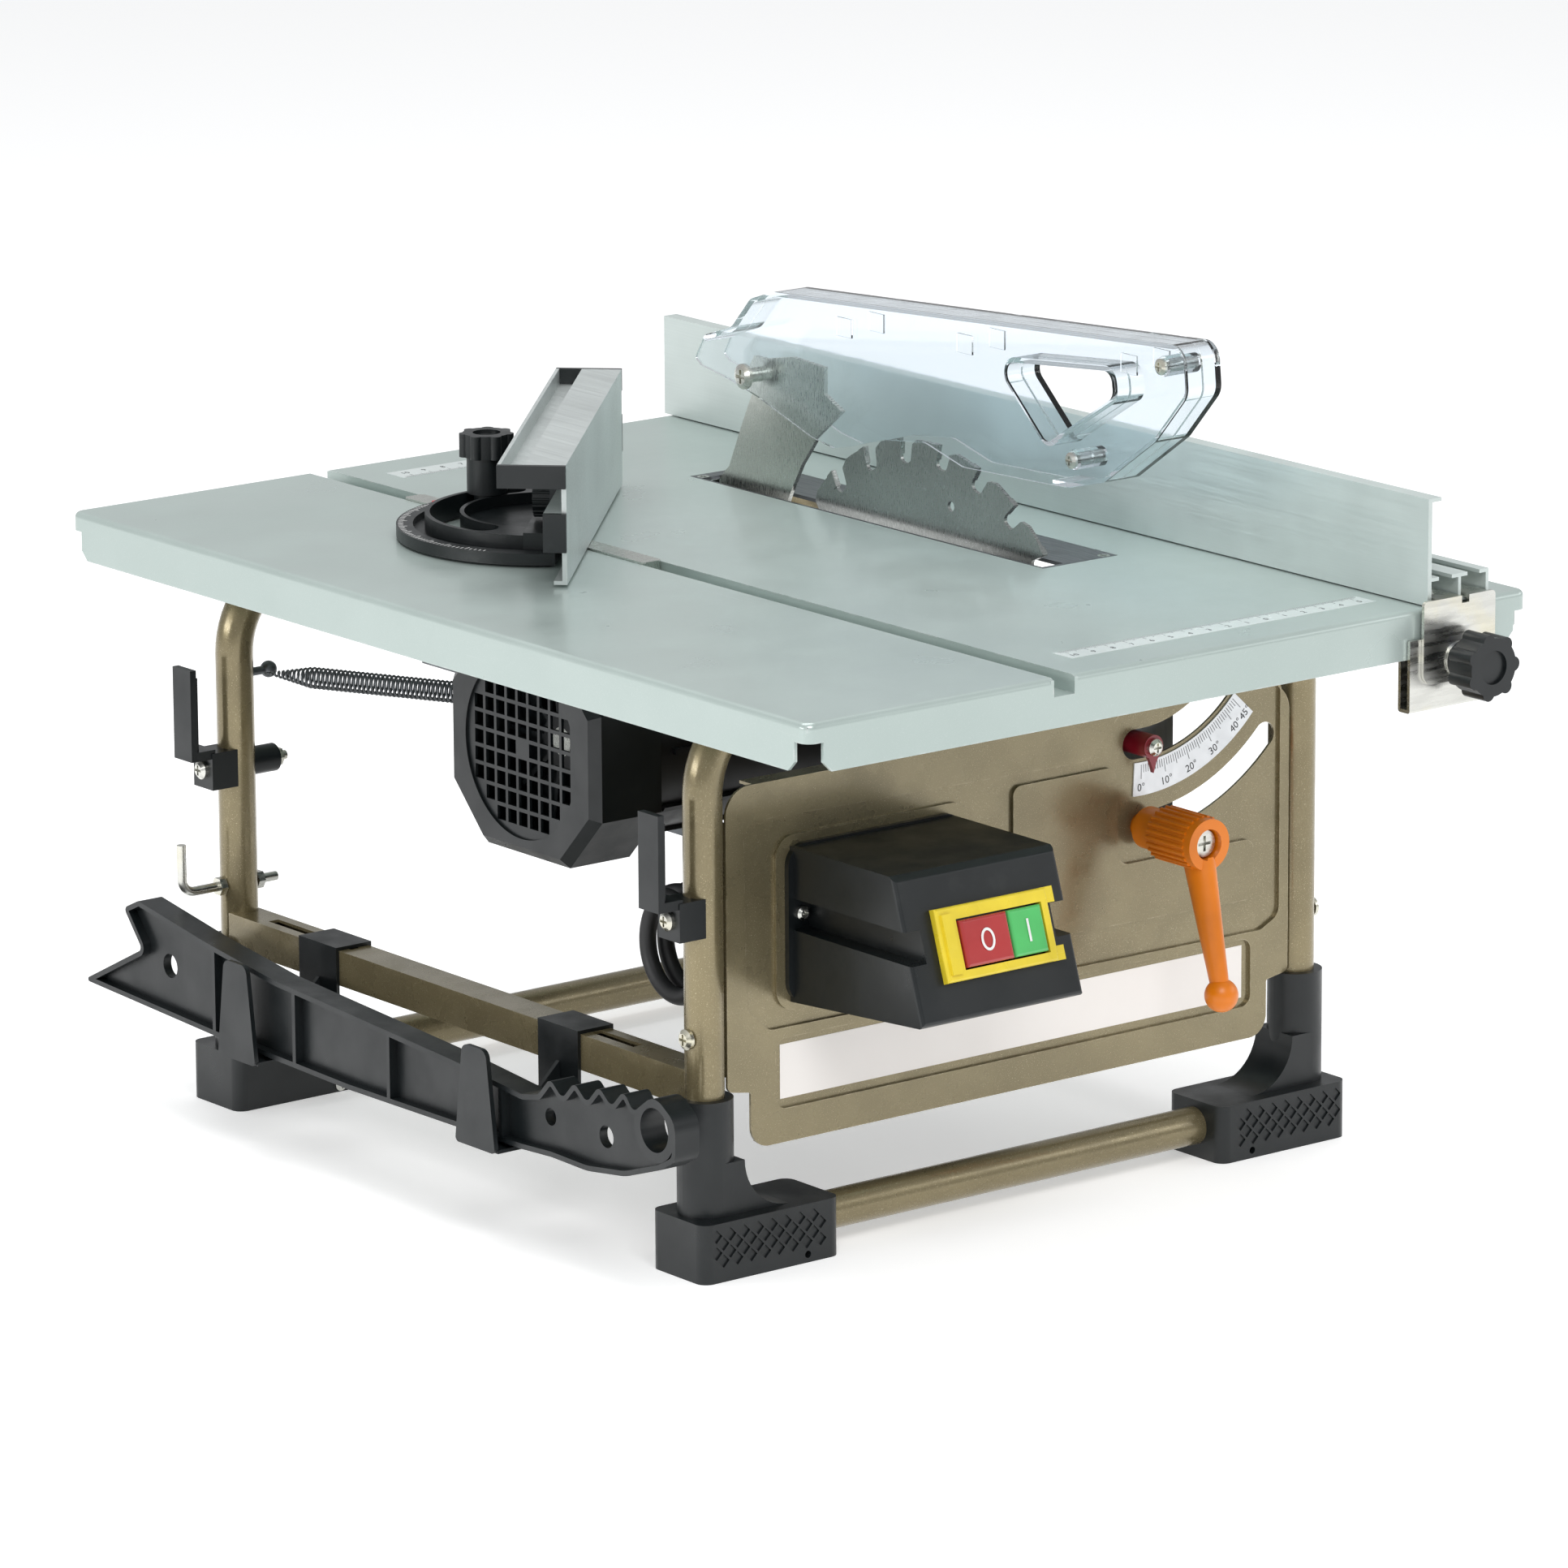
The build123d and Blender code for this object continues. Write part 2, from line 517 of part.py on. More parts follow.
# ================================================================ switch box
SWITCH_FACE = ((36.0, -81.0), (18.0, -135.5))   # y, z of the top and bottom of the sloping face
FLANGE_Y = (99.5, PANEL_Y)
GROOVE_Z = (-113.0, -100.0)
GROOVE_DEPTH = 8.0
FACE_CENTRE = (111.8, 27.0, -108.25)
FACE_UP = Vector(0, SWITCH_FACE[0][0] - SWITCH_FACE[1][0], SWITCH_FACE[0][1] - SWITCH_FACE[1][1]).normalized()
FACE_OUT = Vector(0, -FACE_UP.Z, FACE_UP.Y)
switch_face = Plane(origin=point(*FACE_CENTRE), x_dir=(1, 0, 0), z_dir=FACE_OUT)
BUTTON_OPENING = ((-17.2, 26.2), (-10.4, 10.0))
STOP_X = (-16.5, 7.4)
START_X = (8.4, 25.5)
BUTTON_Y = (-9.7, 9.3)


def face_block(x, y, z, mode=Mode.ADD):
    """Box on the sloping switch face: x across, y up the face, z out of it."""
    with BuildSketch(switch_face.offset(z[0])) as face:
        with Locations(((x[0] + x[1]) / 2, (y[0] + y[1]) / 2)):
            Rectangle(x[1] - x[0], y[1] - y[0])
    extrude(face.sketch, amount=z[1] - z[0], mode=mode)


def face_rim(builder):
    """Edges of the frontmost face that looks out of the sloping switch front."""
    return builder.faces().filter_by(lambda f: f.normal_at().dot(FACE_OUT) > 0.99).sort_by(Axis.Y)[0].edges()


with BuildPart(datum) as switch_box:
    body_points = (
        (FLANGE_Y[1], -79.0),
        (39.0, -79.0),
        SWITCH_FACE[0],
        SWITCH_FACE[1],
        (20.0, -137.0),
        (FLANGE_Y[1], -143.0),
    )
    outline(body_points, side(SWITCH_BOX_X[0]), SWITCH_BOX_X[1] - SWITCH_BOX_X[0])
    fillet(face_rim(switch_box), radius=1.6)
    cavity = ((FLANGE_Y[1] + 1, -81.5), (40.5, -81.5), (21.5, -134), (FLANGE_Y[1] + 1, -140.2))
    outline(cavity, side(SWITCH_BOX_X[0] + 10.5), 61, mode=Mode.SUBTRACT)
    for x in (SWITCH_BOX_X[0] - 1, SWITCH_BOX_X[1] - GROOVE_DEPTH):
        block((x, x + GROOVE_DEPTH + 1), (0, FLANGE_Y[0]), GROOVE_Z, mode=Mode.SUBTRACT)
    soft_outline(((68.4, -78), (158, -78), (158, -143.4), (68.4, -143.4)), 9, front(FLANGE_Y[1]), 2.5)
    outline(cavity, side(SWITCH_BOX_X[0] + 10.5), 61, mode=Mode.SUBTRACT)
    face_block(BUTTON_OPENING[0], BUTTON_OPENING[1], (-9, 2), mode=Mode.SUBTRACT)
    for x in (75.0, 149.0):
        bar_y(x, (90, PANEL_Y + 1), -106.5, 1.5, mode=Mode.SUBTRACT)
save(switch_box, "switch_box")

with BuildPart(datum) as switch_frame:
    face_block((-26.5, 30.0), (-14.3, 15.4), (0, 3.6))
    fillet(face_rim(switch_frame), radius=1.2)
    face_block((27.0, 33.5), (9.0, 15.4), (0, 3.0))
    face_block((27.0, 33.5), (-14.3, -8.4), (0, 3.0))
    face_block((-24.5, -19.5), (-11.5, 12.6), (2.6, 4.8))
    face_block(BUTTON_OPENING[0], BUTTON_OPENING[1], (-1, 6), mode=Mode.SUBTRACT)
save(switch_frame, "switch_frame")

with BuildPart(datum) as stop_button:
    face_block(STOP_X, BUTTON_Y, (-5.0, 5.0))
    fillet(face_rim(stop_button), radius=1.4)
    with BuildSketch(switch_face.offset(5.0)) as mark:
        with Locations((sum(STOP_X) / 2, sum(BUTTON_Y) / 2)):
            Ellipse(3.4, 4.6)
            Ellipse(2.3, 3.5, mode=Mode.SUBTRACT)
    extrude(mark.sketch, amount=0.35)
save(stop_button, "stop_button")

with BuildPart(datum) as start_button:
    face_block(START_X, BUTTON_Y, (-5.0, 4.2))
    fillet(face_rim(start_button), radius=1.4)
    face_block((16.4, 17.5), (-4.6, 4.6), (4.2, 4.55))
save(start_button, "start_button")

# ================================================================ bevel cradle
KNIFE_T = 2.0
KNIFE_X = (BLADE_X - KNIFE_T / 2, BLADE_X + KNIFE_T / 2)
LUG_X = (KNIFE_X[1], 259.0)
BEAM_X = (280.0, 283.0)
ROD_Z = (-152.0, -17.0)
POINTER = (BLADE_X, -65.6)
SPRING_ARM_X = (106.0, 109.0)      # arm that carries the motor end of the counter spring
SPRING_ARM_Z = (-63.0, -58.0)
SPRING_EYE = (95.5, -60.5)         # x, z of the eye in the end of that arm
with BuildPart(datum) as cradle_frame:
    front_points = (
        (213, -20), (262, -20), (285, -42), (285, -118), (268, -128), (246, -128), (243, -153), (213, -153),
    )
    rear_points = (
        (213, -20), (262, -20), (285, -42), (285, -98), (234, -98), (234, -153), (213, -153),
    )
    outline(front_points, front(CRADLE_Y[0] + CRADLE_T), CRADLE_T)
    outline(rear_points, front(CRADLE_Y[1] + CRADLE_T), CRADLE_T)
    block(BEAM_X, (CRADLE_Y[0], CRADLE_Y[1] + 1), (-96, -50))
    for y in (CRADLE_Y[0] - FLANGE_T - 1.5, CRADLE_Y[1] + CRADLE_T - 1):
        for angle in PIN_ANGLES:
            pin_x, pin_z = polar(PIVOT, PIN_ARC_R, bevel(angle))
            bar_y(pin_x, (y, y + FLANGE_T + 3.5), pin_z, SHAFT_R)
    for z in ((-20, -17), (-150, -147)):
        block((218, 240), (CRADLE_Y[0] + 1, ROD_Y[0] + 9), z)
        block((218, 240), (ROD_Y[1] - 9, CRADLE_Y[1] + 1), z)
        for y in ROD_Y:
            bar_z(ROD_X, y, (z[0] - 1, z[1] + 1), ROD_R, mode=Mode.SUBTRACT)
    block((238, 262), (CRADLE_Y[0] + 1, SCREW_Y + 7), (-20, -17))
    block((245, 264), (CRADLE_Y[0] + 1, SCREW_Y + 7), (-88, -85))
    bar_z(BLADE_X, SCREW_Y, (-21, -16), SHAFT_R + RUN, mode=Mode.SUBTRACT)
    bar_z(BLADE_X, SCREW_Y, (-89, -84), SHAFT_R + RUN, mode=Mode.SUBTRACT)
    bar_y(BLADE_X, (100, 130), CRANK_Z, SHAFT_R + RUN, mode=Mode.SUBTRACT)
    block(LUG_X, (352, CRADLE_Y[1] + 1), (-100, -62))
    for y, z in KNIFE_BOLTS:
        bar_x((240, 270), y, z, 2.5, mode=Mode.SUBTRACT)
    bar_y(POINTER[0], (100, 130), POINTER[1], 2.0, mode=Mode.SUBTRACT)
    block((SPRING_ARM_X[0], 215), (CRADLE_Y[1], CRADLE_Y[1] + CRADLE_T), SPRING_ARM_Z)
    block(SPRING_ARM_X, (296, CRADLE_Y[1] + 1), SPRING_ARM_Z)
    block((91, SPRING_ARM_X[1]), (296, 299), SPRING_ARM_Z)
    bar_y(SPRING_EYE[0], (295, 300), SPRING_EYE[1], 1.6, mode=Mode.SUBTRACT)
save(cradle_frame, "cradle_frame")

with BuildPart(datum) as guide_rods:
    for y in ROD_Y:
        bar_z(ROD_X, y, ROD_Z, ROD_R)
save(guide_rods, "guide_rods")

KNIFE_POINTS = (
    (382.8, 0.3), (376.1, 6.4), (367.9, 24.3), (359.8, 40.4), (362.5, 49), (357, 57.5), (349, 57.5),
    (330.7, 61), (308.7, 59.8), (308.8, 48.3), (296.6, 42.6), (315.4, 27.7), (325.9, 14.5), (333.9, 0.8),
    (341, -14), (343, -20), (349, -40), (352, -57), (352, -102), (384, -102), (386, -20),
)
with BuildPart(datum) as riving_knife:
    outline(KNIFE_POINTS, side(KNIFE_X[0]), KNIFE_T)
    bar_x((250, 260), GUARD_PIVOT[0], GUARD_PIVOT[1], 3.0 + RUN, mode=Mode.SUBTRACT)
    for y, z in KNIFE_BOLTS:
        bar_x((250, 260), y, z, 2.5, mode=Mode.SUBTRACT)
save(riving_knife, "riving_knife")

with BuildPart(datum) as cradle_screws:
    for y, z in KNIFE_BOLTS:
        bar_x((KNIFE_X[0] - 3, LUG_X[1] + 6), y, z, 2.5)
        hex_prism(facing_left(KNIFE_X[0], y, z), 9, 3.4)
        hex_prism(facing_right(LUG_X[1], y, z), 9, 4)
    pan_screw(Location((POINTER[0], 95, POINTER[1]), (90, 0, 0)), 3.6, 2.6, 2.0, CRADLE_Y[0] + CRADLE_T - 95)
save(cradle_screws, "cradle_screws")

with BuildPart(datum) as tilt_pointer:
    bar_y(POINTER[0], (95, CRADLE_Y[0]), POINTER[1], 5.0)
    outline(((249.5, -65.6), (259.5, -65.6), (256, -72), (254.5, -76.5), (253, -72)), front(97), 2)
    bar_y(POINTER[0], (90, 130), POINTER[1], 2.0, mode=Mode.SUBTRACT)
save(tilt_pointer, "tilt_pointer")

SLEEVE_Y = (87.0, 98.5)
SLEEVE_R = 8.75
with BuildPart(datum) as crank_sleeve:
    bar_y(BLADE_X, SLEEVE_Y, CRANK_Z, SLEEVE_R)
    bar_y(BLADE_X, (SLEEVE_Y[0], CRADLE_Y[0]), CRANK_Z, CRANK_SLOT_HALF - 0.3)
    bar_y(BLADE_X, (80, 130), CRANK_Z, SHAFT_R + RUN, mode=Mode.SUBTRACT)
save(crank_sleeve, "crank_sleeve")

# ================================================================ crank, shaft and lead screw
HUB_Y = (60.0, 86.9)
HUB_R = 11.5
BALL_R = 7.0
BALL = (61.5, 52.0)           # distance from the crank axis, and y
POCKET_Y = 66.0
with BuildPart(datum) as crank_handle:
    bar_y(BLADE_X, HUB_Y, CRANK_Z, HUB_R - 0.8)
    for i in range(24):
        angle = math.radians(15 * i)
        rib_x = BLADE_X + (HUB_R - 0.8) * math.cos(angle)
        rib_z = CRANK_Z + (HUB_R - 0.8) * math.sin(angle)
        bar_y(rib_x, (HUB_Y[0] + 4, HUB_Y[1]), rib_z, 0.8)
    with Locations((BLADE_X, BALL[1], CRANK_Z - BALL[0])):
        Sphere(BALL_R)
    arm_root = Plane(origin=point(BLADE_X, 66.5, CRANK_Z - 7), z_dir=(0, (BALL[1] - 66.5) / 55, -1))
    arm_axis = (0, (BALL[1] - 66.5) / 55, -1)
    arm_tip = Plane(origin=point(BLADE_X, BALL[1] + 0.8, CRANK_Z - BALL[0] + 3), z_dir=arm_axis)
    with BuildSketch(arm_root) as thick_end:
        Ellipse(8.0, 5.6)
    with BuildSketch(arm_tip) as thin_end:
        Ellipse(4.2, 3.6)
    loft([thick_end.sketch, thin_end.sketch])
    bar_y(BLADE_X, (HUB_Y[0] - 1, POCKET_Y), CRANK_Z, 6.5, mode=Mode.SUBTRACT)
    bar_y(BLADE_X, (HUB_Y[0] - 1, HUB_Y[1] + 1), CRANK_Z, SHAFT_R, mode=Mode.SUBTRACT)
save(crank_handle, "crank_handle")

GEAR_TEETH = 12
GEAR_FACE = (3.0, 7.3)        # distances from the shared apex
GEAR_APEX = (BLADE_X, SCREW_Y, CRANK_Z)


def bevel_gear(axis_plane, first_tooth):
    """Straight bevel gear; the plane lies at the cone apex with its z towards the gear's back."""
    near, far = GEAR_FACE
    with BuildSketch(axis_plane.offset(near)) as small:
        Circle(near - 0.9)
    with BuildSketch(axis_plane.offset(far)) as large:
        Circle(far - 0.9)
    loft([small.sketch, large.sketch])
    for i in range(GEAR_TEETH):
        turn = first_tooth + 360 / GEAR_TEETH * i
        with BuildSketch(axis_plane.offset(near)) as tooth_small:
            with Locations(Location((0, 0, 0), (0, 0, turn))):
                with Locations((near, 0)):
                    Rectangle(1.0, near * 0.19)
        with BuildSketch(axis_plane.offset(far)) as tooth_large:
            with Locations(Location((0, 0, 0), (0, 0, turn))):
                with Locations((far - 0.35, 0)):
                    Rectangle(1.5, far * 0.19)
        loft([tooth_small.sketch, tooth_large.sketch])


with BuildPart(datum) as crank_shaft:
    bar_y(BLADE_X, (POCKET_Y, SCREW_Y - GEAR_FACE[1]), CRANK_Z, SHAFT_R)
    bar_y(BLADE_X, (POCKET_Y - 3.0, POCKET_Y), CRANK_Z, 5.6)
    bevel_gear(Plane(origin=point(*GEAR_APEX), x_dir=(0, 0, 1), z_dir=(0, -1, 0)), 0)
    for width, height in ((6.5, 1.3), (1.3, 6.5)):
        block(
            (BLADE_X - width / 2, BLADE_X + width / 2),
            (POCKET_Y - 4, POCKET_Y - 1),
            (CRANK_Z - height / 2, CRANK_Z + height / 2),
            mode=Mode.SUBTRACT,
        )
save(crank_shaft, "crank_shaft")

with BuildPart(datum) as lead_screw:
    bar_z(BLADE_X, SCREW_Y, (CRANK_Z + GEAR_FACE[1], -17), SHAFT_R)
    bar_z(BLADE_X, SCREW_Y, (-17, -14.5), 6.5)
    bevel_gear(Plane(origin=point(*GEAR_APEX), x_dir=(0, -1, 0), z_dir=(0, 0, 1)), 180 / GEAR_TEETH)
save(lead_screw, "lead_screw")

# ================================================================ motor carriage
NUT_ARM_Z = (-42.0, -30.0)
with BuildPart(datum) as motor_carriage:
    block((236, 242), (136, 385), (-96, -26))
    for y in ROD_Y:
        bar_z(ROD_X, y, (-96, -26), 9.0)
    for y in ROD_Y:
        bar_z(ROD_X, y, (-97, -25), ROD_R + RUN, mode=Mode.SUBTRACT)
    block((236, 250), (128, 137), NUT_ARM_Z)
    bar_z(BLADE_X, SCREW_Y, NUT_ARM_Z, 7.0)
    bar_z(BLADE_X, SCREW_Y, (-45, -28), SHAFT_R + RUN, mode=Mode.SUBTRACT)
    bar_x((230, 250), BLADE_Y, ARBOR_Z, 12.0, mode=Mode.SUBTRACT)
    for y in (178.0, 312.0):
        block((242, 244), (y - 8, y + 8), (-96, -80))
    bar_x((235, 243), BLADE_Y, ARBOR_Z + 30, 3.0, mode=Mode.SUBTRACT)
save(motor_carriage, "motor_carriage")

SHROUD_X = (244.0, 277.0)
SHROUD_R = 104.0
PORT = (260.5, -128.0)
PORT_R = 15.0
PORT_END = 410.0
COLLAR_R = 16.0               # vacuum hose socket at the end of the port
COLLAR_L = 25.0
with BuildPart(datum) as blade_shroud:
    bar_x(SHROUD_X, BLADE_Y, ARBOR_Z, SHROUD_R)
    bar_y(PORT[0], (BLADE_Y + 40, PORT_END), PORT[1], PORT_R)
    bar_y(PORT[0], (PORT_END - COLLAR_L, PORT_END), PORT[1], COLLAR_R)
    bar_x((SHROUD_X[0] + SHEET, SHROUD_X[1] - SHEET), BLADE_Y, ARBOR_Z, SHROUD_R - SHEET, mode=Mode.SUBTRACT)
    bar_y(PORT[0], (BLADE_Y + 40, PORT_END + 1), PORT[1], PORT_R - SHEET, mode=Mode.SUBTRACT)
    block((SHROUD_X[0] - 1, 262), (100, 400), (-22, 60), mode=Mode.SUBTRACT)
    block((260, SHROUD_X[1] + 1), (100, 400), (-30, 60), mode=Mode.SUBTRACT)
    bar_x((SHROUD_X[0] - 1, SHROUD_X[0] + 3), BLADE_Y, ARBOR_Z, 26.0, mode=Mode.SUBTRACT)
save(blade_shroud, "blade_shroud")

MOTOR_X = (75.0, 236.0)
MOTOR_R = 42.0
MOTOR_WALL = 3.5
END_WALL = 4.0
BEARING_R = 13.0
BEARING_W = 7.0
MOTOR_SHAFT_R = 6.0
with BuildPart(datum) as motor_housing:
    bar_x(MOTOR_X, BLADE_Y, ARBOR_Z, MOTOR_R)
    inner_x = (MOTOR_X[0] + END_WALL, MOTOR_X[1] - END_WALL)
    bar_x(inner_x, BLADE_Y, ARBOR_Z, MOTOR_R - MOTOR_WALL, mode=Mode.SUBTRACT)
    bar_x((MOTOR_X[0], inner_x[0] + BEARING_W), BLADE_Y, ARBOR_Z, BEARING_R + 4)
    bar_x((inner_x[1] - BEARING_W, MOTOR_X[1]), BLADE_Y, ARBOR_Z, BEARING_R + 4)
    bar_x((inner_x[0], inner_x[0] + BEARING_W + 1), BLADE_Y, ARBOR_Z, BEARING_R, mode=Mode.SUBTRACT)
    bar_x((inner_x[1] - BEARING_W - 1, inner_x[1]), BLADE_Y, ARBOR_Z, BEARING_R, mode=Mode.SUBTRACT)
    bar_x((MOTOR_X[0] - 1, MOTOR_X[1] + 1), BLADE_Y, ARBOR_Z, 10.0, mode=Mode.SUBTRACT)
    for i in range(8):
        angle = math.radians(45 * i + 22.5)
        vent_y, vent_z = BLADE_Y + 29 * math.cos(angle), ARBOR_Z + 29 * math.sin(angle)
        bar_x((MOTOR_X[0] - 1, inner_x[0] + 1), vent_y, vent_z, 5.0, mode=Mode.SUBTRACT)
    for i in range(10):
        angle = 36 * i
        fin_y = BLADE_Y + (MOTOR_R + 0.5) * math.cos(math.radians(angle))
        fin_z = ARBOR_Z + (MOTOR_R + 0.5) * math.sin(math.radians(angle))
        with Locations(Location(((MOTOR_X[0] + 12 + MOTOR_X[1] - 30) / 2, fin_y, fin_z), (angle, 0, 0))):
            Box(MOTOR_X[1] - MOTOR_X[0] - 42, 3.0, 2.4)
save(motor_housing, "motor_housing")

COVER_X = (41.0, 75.0)
COVER_POINTS = ((22, 50), (45, 28), (45, -28), (22, -50), (-22, -50), (-45, -28), (-45, 28), (-22, 50))
GRILLE_R = 37.5
GRILLE_PITCH = 7.4
GRILLE_HOLE = 5.8
with BuildPart(datum) as fan_cover:
    cover_outline = []
    for z, y in COVER_POINTS:
        cover_outline.append((BLADE_Y + y, ARBOR_Z + z))
    outline(cover_outline, side(COVER_X[0]), COVER_X[1] - COVER_X[0])
    chamfer(fan_cover.faces().sort_by(Axis.X)[0].edges(), length=4.0)
    bar_x((COVER_X[0] + 2.5, COVER_X[1] - 2.5), BLADE_Y, ARBOR_Z, 42.5, mode=Mode.SUBTRACT)
    bar_x((COVER_X[1] - 3, COVER_X[1] + 1), BLADE_Y, ARBOR_Z, 36.0, mode=Mode.SUBTRACT)
    bar_x((COVER_X[0] - 1, COVER_X[0] + 1.2), BLADE_Y, ARBOR_Z, GRILLE_R, mode=Mode.SUBTRACT)
    with BuildSketch(side(COVER_X[0] - 1)) as grille:
        for i in range(-5, 6):
            for j in range(-5, 6):
                reach = math.hypot(abs(i) * GRILLE_PITCH + 2, abs(j) * GRILLE_PITCH + 2)
                if 9.5 < reach < GRILLE_R:
                    with Locations((BLADE_Y + i * GRILLE_PITCH, ARBOR_Z + j * GRILLE_PITCH)):
                        Rectangle(GRILLE_HOLE, GRILLE_HOLE)
    extrude(grille.sketch, amount=5, mode=Mode.SUBTRACT)
save(fan_cover, "fan_cover")

STATOR_X = (110.0, 180.0)
ROTOR_X = (105.0, 185.0)
STATOR_R = (26.0, MOTOR_R - MOTOR_WALL)
with BuildPart(datum) as stator:
    bar_x(STATOR_X, BLADE_Y, ARBOR_Z, STATOR_R[1])
    bar_x((STATOR_X[0] - 8, STATOR_X[1] + 8), BLADE_Y, ARBOR_Z, 34.5)
    bar_x((STATOR_X[0] - 9, STATOR_X[1] + 9), BLADE_Y, ARBOR_Z, STATOR_R[0], mode=Mode.SUBTRACT)
save(stator, "stator")

with BuildPart(datum) as rotor:
    bar_x(ROTOR_X, BLADE_Y, ARBOR_Z, 24.5)
    bar_x((62, MOTOR_X[1] - END_WALL + 3), BLADE_Y, ARBOR_Z, MOTOR_SHAFT_R)
    bar_x((MOTOR_X[1] - END_WALL, 272), BLADE_Y, ARBOR_Z, ARBOR_R)
    for i in range(12):
        angle = math.radians(30 * i)
        bar_y_pos, bar_z_pos = BLADE_Y + 24.5 * math.cos(angle), ARBOR_Z + 24.5 * math.sin(angle)
        bar_x((ROTOR_X[0] - 1, ROTOR_X[1] + 1), bar_y_pos, bar_z_pos, 1.2, mode=Mode.SUBTRACT)
save(rotor, "rotor")

with BuildPart(datum) as bearings:
    for x in (MOTOR_X[0] + END_WALL, MOTOR_X[1] - END_WALL - BEARING_W):
        bar_x((x, x + BEARING_W), BLADE_Y, ARBOR_Z, BEARING_R)
        bar_x((x - 1, x + 1), BLADE_Y, ARBOR_Z, 11.0, mode=Mode.SUBTRACT)
        bar_x((x, x + BEARING_W), BLADE_Y, ARBOR_Z, 8.0)
        bar_x((x - 1, x + BEARING_W + 1), BLADE_Y, ARBOR_Z, MOTOR_SHAFT_R + RUN / 2, mode=Mode.SUBTRACT)
save(bearings, "bearings")

FAN_X = (62.0, 72.0)
with BuildPart(datum) as cooling_fan:
    bar_x(FAN_X, BLADE_Y, ARBOR_Z, 12.0)
    bar_x((FAN_X[1] - 2, FAN_X[1]), BLADE_Y, ARBOR_Z, 35.0)
    for i in range(9):
        with Locations((sum(FAN_X) / 2, BLADE_Y, ARBOR_Z)):
            with Locations(Location((0, 0, 0), (40 * i, 0, 0))):
                with Locations((0, 22.5, 0)):
                    Box(FAN_X[1] - FAN_X[0], 25, 2)
    bar_x((FAN_X[0] - 1, FAN_X[1] + 1), BLADE_Y, ARBOR_Z, MOTOR_SHAFT_R, mode=Mode.SUBTRACT)
save(cooling_fan, "cooling_fan")

BLADE_SIDE = (BLADE_X - BLADE_T / 2, BLADE_X + BLADE_T / 2)
FLANGE_R = 22.0


def blade_point(radius, degrees):
    angle = math.radians(degrees)
    return (BLADE_Y + radius * math.cos(angle), ARBOR_Z + radius * math.sin(angle))


with BuildPart(datum) as saw_blade:
    pitch = 360 / BLADE_TEETH
    with BuildSketch(side(BLADE_SIDE[0])) as disc:
        with Locations((BLADE_Y, ARBOR_Z)):
            Circle(BLADE_R - 0.4)
        for i in range(BLADE_TEETH):
            face_angle = pitch * i + 5
            with BuildLine() as gullet:
                FilletPolyline(
                    blade_point(BLADE_R + 3, face_angle + 1),
                    blade_point(BLADE_R - 11, face_angle - 1.8),
                    blade_point(BLADE_R - 10.5, face_angle + 3.0),
                    blade_point(BLADE_R - 2.5, face_angle + 4.2),
                    blade_point(BLADE_R + 3, face_angle + 10.5),
                    radius=(0, 2.6, 2.6, 1.5, 0),
                    close=True,
                )
            make_face(gullet.edges(), mode=Mode.SUBTRACT)
        with Locations((BLADE_Y, ARBOR_Z)):
            Circle(ARBOR_R, mode=Mode.SUBTRACT)
        for i in range(4):
            slot_angle = 90 * i + 12
            with Locations(blade_point(BLADE_R - 24, slot_angle)):
                Circle(2.2, mode=Mode.SUBTRACT)
    extrude(disc.sketch, amount=BLADE_T)
    for i in range(BLADE_TEETH):
        face_angle = pitch * i + 5
        tip_points = (
            blade_point(BLADE_R, face_angle + 0.2),
            blade_point(BLADE_R - 7, face_angle - 0.75),
            blade_point(BLADE_R - 7, face_angle - 2.3),
            blade_point(BLADE_R - 0.3, face_angle - 2.3),
        )
        outline(tip_points, side(BLADE_X - TIP_T / 2), TIP_T)
save(saw_blade, "saw_blade")

with BuildPart(datum) as arbor_hardware:
    bar_x((BLADE_SIDE[0] - 4, BLADE_SIDE[0]), BLADE_Y, ARBOR_Z, FLANGE_R)
    bar_x((BLADE_SIDE[1], BLADE_SIDE[1] + 3.6), BLADE_Y, ARBOR_Z, FLANGE_R)
    hex_prism(facing_right(BLADE_SIDE[1] + 3.6, BLADE_Y, ARBOR_Z), 24, 8.5)
    bar_x((240, 280), BLADE_Y, ARBOR_Z, ARBOR_R, mode=Mode.SUBTRACT)
save(arbor_hardware, "arbor_hardware")

# ================================================================ guard
GUARD_X = (245.3, 254.45, 254.55, 263.7)   # outer and inner faces of the two clear halves
GUARD_WALL = 2.0
GUARD_POINTS = (
    (388.9, 52.8), (382.1, 63.8), (363.4, 69.9), (350.1, 84.2), (334.4, 89.4), (66.5, 106.3), (64.5, 86),
    (84, 64.5), (116, 42.5), (138.8, 36.5), (158.2, 35.7), (207.4, 34.1), (232.4, 40.5), (260.1, 37.3),
    (280.6, 31.2), (293.4, 28.3), (308.9, 30.7), (345.3, 42.2), (366.4, 47.2), (384.9, 50.1),
)
GUARD_RADII = (1, 5, 9, 9, 8, 8, 8, 10, 6, 6, 6, 9, 9, 9, 6, 6, 9, 9, 6, 1)
HANDLE_POINTS = ((175.3, 85.3), (110.2, 91.3), (108.3, 77.5), (143.7, 56.2), (153.4, 49.9), (187.6, 81))
RIM_OPENING = ((150, 0), (150, 44), (206, 44), (232, 50), (290, 46), (312, 56), (396, 62), (396, 0))
GUARD_SCREWS_YZ = ((80.0, 96.0), (136.0, 48.5))
CLIP_YZ = ((100.0, 98.0), (205.0, 90.5), (285.0, 85.5))


